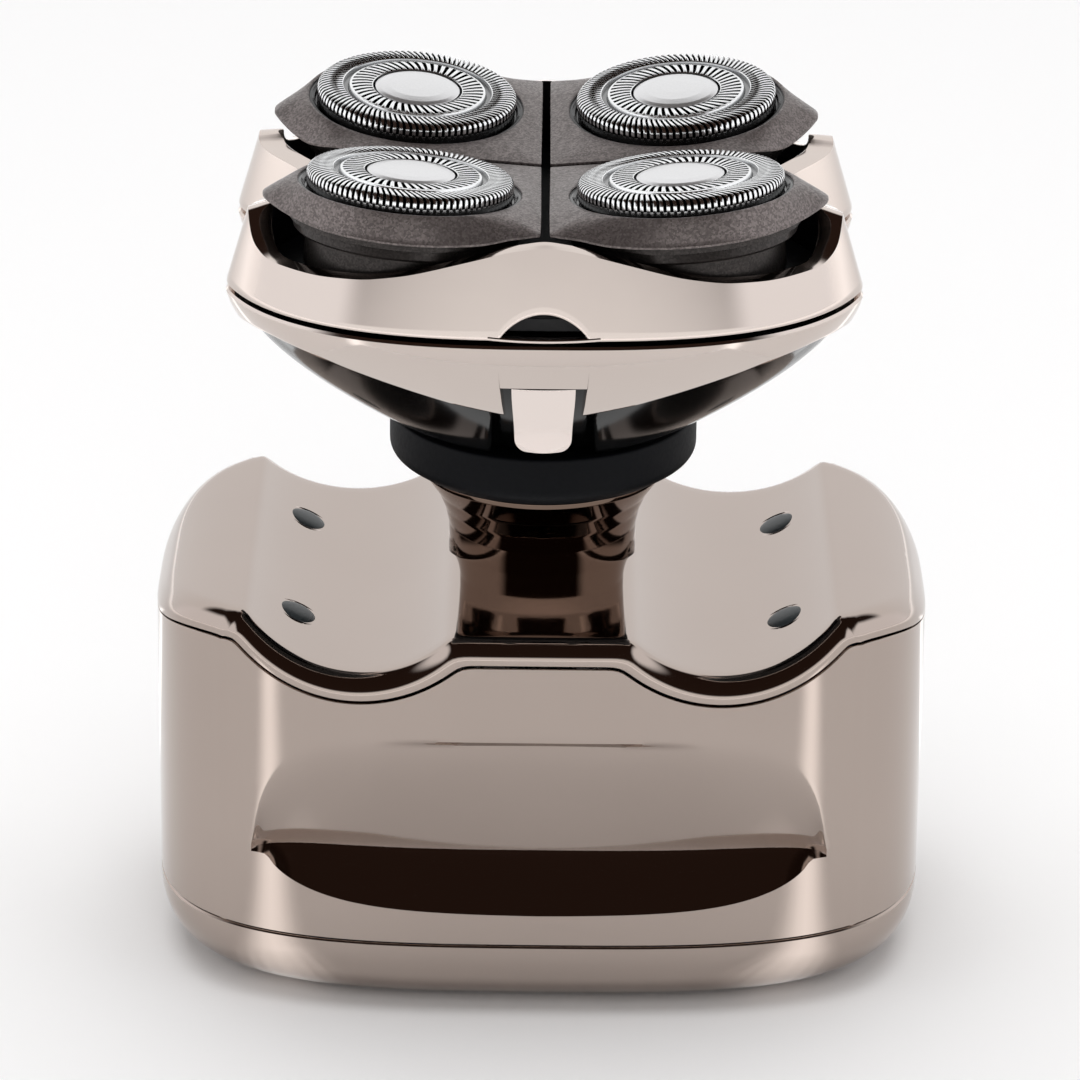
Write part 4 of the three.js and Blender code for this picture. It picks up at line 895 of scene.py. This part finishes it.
cap_line = rounded([(0.001, -0.8), (4.6, -0.8, 0.1), (4.75, -0.1, 0.1), (4.3, 0.12, 0.5),
                    (3.3, 0.3, 1.5), (1.6, 0.38, 1.0), (0.001, 0.4)], 4)
tracks = [guard_track(INNER_TRACK, INNER_SLOTS), guard_track(OUTER_TRACK, OUTER_SLOTS)]
# Painted shade share of every guard point, inner track first.
slot_shade_mask = np.concatenate([mask.ravel() for _, mask in tracks])
for corner, (sx, sy) in CORNERS.items():
    body = "pod_" + corner
    shape = pod_points(sx, sy)
    paint = np.zeros(len(shape), int)
    paint[:SEAT_ROWS] = 1
    # Boot rows take the darker copy of the paint: painted shade under the plate.
    paint[BOOT_ROW:] = 2
    piece(f"pod_skin_{corner}", [grid(at_pod(shape, sx, sy), wrap_rows=True, paint=paint)],
          body, [flakes, piano, boot_painted_shade], body)
    rings = [grid(at_pod(points, sx, sy), wrap_rows=True) for points, _ in tracks]
    piece(f"guard_skin_{corner}", rings, body, [foil], "guard_" + corner,
          mask=slot_shade_mask, sharp=38)
    piece(f"cap_skin_{corner}", [grid(at_pod(lathe(cap_line, 96), sx, sy))], body,
          [blasted], "guard_cap_" + corner)

# %% [markdown]
# Four silicone pads sit in the troughs to hold the fingers. Each is a low dome, square to the
# trough's slope, in a thin bright ring. A squashed sphere would have no lip, so dome, groove
# and ring are one turned line, and the ring's rows take the bright finish.

# %% Grip pads
PAD_X, PAD_Y = 26.9, 13.5
slope = math.asin((PAD_X - TROUGH_X) / TROUGH_R)
dome = [(0.001, 0.42), (1.2, 0.38), (1.9, 0.22), (2.25, 0.02), (2.32, -0.1), (2.38, 0.03),
        (2.5, 0.12), (2.62, 0.06), (2.7, -0.1), (2.4, -0.8), (0.001, -0.8)]
dome_shape = lathe(np.array(dome), 64)
pad_paint = [0, 0, 0, 0, 1, 1, 1, 1, 0, 0, 0]
for corner, (sx, sy) in CORNERS.items():
    cosine, sine = math.cos(slope), -sx * math.sin(slope)
    x = dome_shape[..., 0] * cosine + dome_shape[..., 2] * sine + sx * PAD_X
    z = -dome_shape[..., 0] * sine + dome_shape[..., 2] * cosine
    z = z + TROUGH_Z - TROUGH_R * math.cos(slope)
    leaned = np.stack([x, dome_shape[..., 1] + sy * PAD_Y, z], -1)
    piece(f"grip_pad_skin_{corner}", [grid(leaned, paint=pad_paint)], "handle",
          [rubber, pale], "grip_pad_" + corner)

# %% [markdown]
# The rear face carries a round power button in a bright ring, a smoked window over the charge
# lights, and the charging inlet. Bevelled cylinders would do, but a turned line also gives
# the button its slight dish. Each is a line turned about an axis along Y. The housing skin has
# no openings here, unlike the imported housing, so it covers the window and the inlet, and the
# button's face goes behind it when pressed.

# %% Rear fittings
BUTTON_Z, LENS_Z, LENS_APART = 26.0, 36.0, 2.9


def turned_y(line, middle_z, stretch=0.0, turns=96):
    """A [radius, y] line turned about the Y axis; stretch pulls the halves apart in a stadium."""
    angle = np.linspace(0, 2 * np.pi, turns, endpoint=False)[None]
    line = np.array(line)
    r, y = line[:, :1], line[:, 1:] + 0 * angle
    apart = stretch * np.sign(np.cos(angle)) * (r > 0.01)
    return np.stack([r * np.cos(angle) + apart, y, middle_z + r * np.sin(angle)], -1)


button_line = [(0.001, 29.55), (2.5, 29.6), (4.4, 29.75), (5.3, 29.9), (5.65, 29.85), (5.8, 29.65),
               (5.8, 27.6), (0.001, 27.5)]
piece("button_skin", [grid(turned_y(button_line, BUTTON_Z))], "button", [bronze],
      "power_button")
ring_line = [(6.3, 27.8), (6.3, 29.5), (6.45, 29.66), (6.8, 29.7), (7.15, 29.66), (7.3, 29.5),
             (7.3, 27.8)]
piece("button_ring_skin", [grid(turned_y(ring_line, BUTTON_Z), wrap_rows=True)], "handle",
      [pale], "button_ring")
lens_line = [(0.001, 29.45), (1.1, 29.42), (1.5, 29.32), (1.6, 29.15), (1.6, 27.8), (0.001, 27.8)]
piece("display_skin", [grid(turned_y(lens_line, LENS_Z, LENS_APART))], "handle",
      [smoked], "display_lens")

# %% [markdown]
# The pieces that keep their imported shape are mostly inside. Each gets the finish of the real
# part: acetal gears, steel cutters and screws, wrapped cells and a green circuit board. They
# show only when the head is off or open, or not at all, so new meshes would add little. The
# base screws and the inlet would show on a real shaver, but the skins have no holes for them.

# %% Finishes of the inner parts
INNER = {
    "base_screw": (steel, "steel"), "neck_bearing": (steel, "steel"),
    "neck_seal": (seal, "soft_rubber"), "chassis": (black_nylon_and_shade, "matt_black"),
    "motor_shaft": (steel, "steel"), "motor": (steel, "steel"),
    "battery": (wrap, "cell_wrap"), "circuit_board": (board, "board_green"),
    "charging_socket": (black_nylon_and_shade, "matt_black"), "drive_coupling": (nylon, "nylon"),
    "gear_plate": (black_nylon_and_shade, "matt_black"), "hinge_pin": (steel, "steel"),
    "pod_tray": (black_nylon_and_shade, "matt_black"), "central_gear": (nylon, "nylon"),
    "cutter_gear": (nylon, "nylon"), "cutter": (steel, "steel"),
}
for name, node in sorted(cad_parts.items()):
    if node.hide_render:
        continue
    key = max((k for k in INNER if name.startswith(k)), key=len)
    node.data.materials.clear()
    node.data.materials.append(INNER[key][0])
print("inner parts", sum(not n.hide_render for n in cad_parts.values()))

# %% [markdown]
# The studio floor is a plain sheet of white paper. It could be a curved sweep, but a flat one
# that brightens to plain white far away hides its horizon just as well, with no bend to model.

# %% Floor
FLOOR_HALF, FLOOR_DROP = 6.0, 0.0003
WHITE_FROM, WHITE_TO = 0.35, 1.3
floor_mesh = bpy.data.meshes.new("floor")
corners = [(-FLOOR_HALF, -FLOOR_HALF, 0), (FLOOR_HALF, -FLOOR_HALF, 0),
           (FLOOR_HALF, FLOOR_HALF, 0), (-FLOOR_HALF, FLOOR_HALF, 0)]
floor_mesh.from_pydata(corners, [], [(0, 1, 2, 3)])
floor_material, floor_tree, floor_shader, floor_place = finish_material(
    "white_paper_sweep", "#f7f7f7", Roughness=0.9, Specular_IOR_Level=0.0)
far = add(floor_tree, "ShaderNodeVectorMath", {"operation": "LENGTH"}, i0=floor_place)
whiten = add(floor_tree, "ShaderNodeMapRange", {"interpolation_type": "SMOOTHSTEP"},
             Value=far.outputs["Value"], i1=WHITE_FROM, i2=WHITE_TO)
floor_shader.inputs["Emission Color"].default_value = (1, 1, 1, 1)
floor_tree.links.new(whiten.outputs["Result"], floor_shader.inputs["Emission Strength"])
floor_mesh.materials.append(floor_material)
floor = bpy.data.objects.new("floor", floor_mesh)
floor.location.z = -FLOOR_DROP
bpy.context.scene.collection.objects.link(floor)
print("floor", 2 * FLOOR_HALF, "m across")

# %% [markdown]
# Mirrors show the sky, so the sky is drawn for them. It depends on the angle of a direction
# about the left to right axis: 0 is the front horizon, 90 is overhead and 180 the rear horizon.
# A picture of a studio could stand in for it, but a ramp of stops is easier to steer.
# It is bright near both horizons and dark from the camera up to overhead. That dark sector
# draws the dark line along every rounded edge that faces up and forwards. A grey box on each
# side shades the sides of the pieces.

# %% Sky
SKY = [(0, 1.25), (9, 1.25), (17, 0.03), (126, 0.025), (136, 1.16), (158, 1.12), (180, 1.06)]
SKY_STRENGTH = 2.0
DARK_WARMTH = (1.0, 0.55, 0.4)  # the dark sector is a brown black
SIDE_BOX, SIDE_FROM, SIDE_TO = (0.62, 0.62, 0.63, 1), 0.62, 0.78
world = bpy.data.worlds.new("studio")
bpy.context.scene.world = world
world.use_nodes = True
sky = world.node_tree
direction = add(sky, "ShaderNodeTexCoord").outputs["Generated"]
split = add(sky, "ShaderNodeSeparateXYZ", Vector=direction)
toward = add(sky, "ShaderNodeMath", {"operation": "MULTIPLY"}, i0=split.outputs["Y"], i1=-1.0)
rise = add(sky, "ShaderNodeMath", {"operation": "ARCTAN2"}, i0=split.outputs["Z"],
           i1=toward.outputs[0])
turned_share = add(sky, "ShaderNodeMath", {"operation": "DIVIDE"}, i0=rise.outputs[0], i1=math.pi)
ramp = add(sky, "ShaderNodeValToRGB", Fac=turned_share.outputs[0])
while len(ramp.color_ramp.elements) < len(SKY):
    ramp.color_ramp.elements.new(0.5)
for element, (degrees, value) in zip(ramp.color_ramp.elements, SKY):
    element.position = degrees / 180
    tint = (1.0, 1.0, 1.0) if value > 0.5 else DARK_WARMTH
    element.color = (*(value / SKY_STRENGTH * t for t in tint), 1)
side = add(sky, "ShaderNodeMath", {"operation": "ABSOLUTE"}, i0=split.outputs["X"])
boxes = add(sky, "ShaderNodeMapRange", {"interpolation_type": "SMOOTHSTEP"},
            Value=side.outputs[0], i1=SIDE_FROM, i2=SIDE_TO)
mixed = add(sky, "ShaderNodeMix", {"data_type": "RGBA"}, i0=boxes.outputs[0],
            i6=ramp.outputs["Color"], i7=SIDE_BOX)
sky.links.new(mixed.outputs[2], sky.nodes["Background"].inputs["Color"])
sky.nodes["Background"].inputs["Strength"].default_value = SKY_STRENGTH
print("sky stops", len(SKY))

# %% [markdown]
# Two square soft lamps light the floor and the matt pieces. A sun lamp would draw hard
# shadows. These are hidden from mirrors, which would show them as hard squares.


# %% Lamps
def lamp(name, place, size, watts):
    """A square soft light aimed at the origin, hidden from mirror surfaces."""
    light = bpy.data.lights.new(name, "AREA")
    light.shape, light.size, light.energy = "SQUARE", size, watts
    obj = bpy.data.objects.new(name, light)
    obj.location = place
    obj.rotation_euler = (-Vector(place)).to_track_quat("-Z", "Y").to_euler()
    obj.visible_glossy = False
    bpy.context.scene.collection.objects.link(obj)


lamp("overhead", (0, 0.1, 1.4), 1.4, 15.0)
lamp("front_fill", (0, -1.0, 0.8), 0.9, 3.0)
print("lamps", len(bpy.data.lights))

# %% [markdown]
# Polished metal is lit with glowing strips and white cards, placed where it reflects them.
# Here a strip lies on the floor off each corner of the handle and draws a soft upright
# highlight there. A card in front of the neck and one behind it, lit on their upper side, keep
# the underside of the head's skirt bright. Only mirrors see them.


# %% Strips and cards
STRIP_STATIONS = [(-14, 1.0, 0.0), (0, 1.0, 1.0), (0, 1.5, 1.0), (40, 1.7, 0.0)]
STRIP_COLUMNS, STRIP_WIDTH, STRIP_RADIANCE, STRIP_Z = 9, 16, 1.95, 0.1
CARD_HALF_X, CARD_NEAR, CARD_FAR, CARD_Z, CARD_RADIANCE = 40, 15, 46, 50, 0.95


def seen_by_mirrors(mesh, radiance, kind, output, settings=None):
    """A glowing sheet, clear where the named node's output says, that only mirrors see."""
    material = bpy.data.materials.new(mesh.name)
    material.use_nodes = True
    tree = material.node_tree
    light = add(tree, "ShaderNodeEmission", Color=(1, 1, 1, 1), Strength=radiance).outputs[0]
    clear = add(tree, "ShaderNodeBsdfTransparent").outputs[0]
    share = add(tree, kind, settings).outputs[output]
    low, high = (light, clear) if output == "Backfacing" else (clear, light)
    mix = add(tree, "ShaderNodeMixShader", i0=share, i1=low, i2=high)
    tree.links.new(mix.outputs[0], tree.nodes["Material Output"].inputs["Surface"])
    mesh.materials.append(material)
    sheet = bpy.data.objects.new(mesh.name, mesh)
    bpy.context.scene.collection.objects.link(sheet)
    sheet.visible_camera = sheet.visible_diffuse = sheet.visible_shadow = False


def light_strip(name, start, end):
    """A strip on the floor whose glow across is cos^2: full in its middle, none at its edge."""
    start, end = np.array(start, float), np.array(end, float)
    along = (end - start) / np.linalg.norm(end - start)
    beside = np.array([-along[1], along[0]]) * STRIP_WIDTH / 2
    spans = np.linspace(-1, 1, STRIP_COLUMNS)
    points, glow = [], []
    for place, (past, wide, lit) in zip((start, start, end, end), STRIP_STATIONS):
        flat = (place + past * along) + beside * wide * spans[:, None]
        points.append(np.column_stack([flat, np.full(STRIP_COLUMNS, STRIP_Z)]))
        glow.append(lit * np.cos(spans * np.pi / 2) ** 2)
    mesh = bpy.data.meshes.new(name)
    faces = grid_faces(len(STRIP_STATIONS), STRIP_COLUMNS, False, False)
    mesh.from_pydata((np.concatenate(points) * MM).tolist(), [], faces.tolist())
    layer = mesh.attributes.new("glow", "FLOAT", "POINT")
    layer.data.foreach_set("value", np.concatenate(glow).astype(np.float32))
    seen_by_mirrors(mesh, STRIP_RADIANCE, "ShaderNodeAttribute", "Fac", {"attribute_name": "glow"})


def card(name, low_y, high_y):
    """A flat card over the deck, lit above and clear from below."""
    mesh = bpy.data.meshes.new(name)
    corners = [(-CARD_HALF_X, low_y), (CARD_HALF_X, low_y), (CARD_HALF_X, high_y),
               (-CARD_HALF_X, high_y)]
    mesh.from_pydata([(x * MM, y * MM, CARD_Z * MM) for x, y in corners], [], [(0, 1, 2, 3)])
    seen_by_mirrors(mesh, CARD_RADIANCE, "ShaderNodeNewGeometry", "Backfacing")


for sx in (-1, 1):
    for sy in (-1, 1):
        light_strip(f"strip_{sx}_{sy}", (sx * 34, sy * 31), (sx * 112, sy * 109))
for sy in (-1, 1):
    card(f"card_{sy}", *sorted((sy * CARD_NEAR, sy * CARD_FAR)))
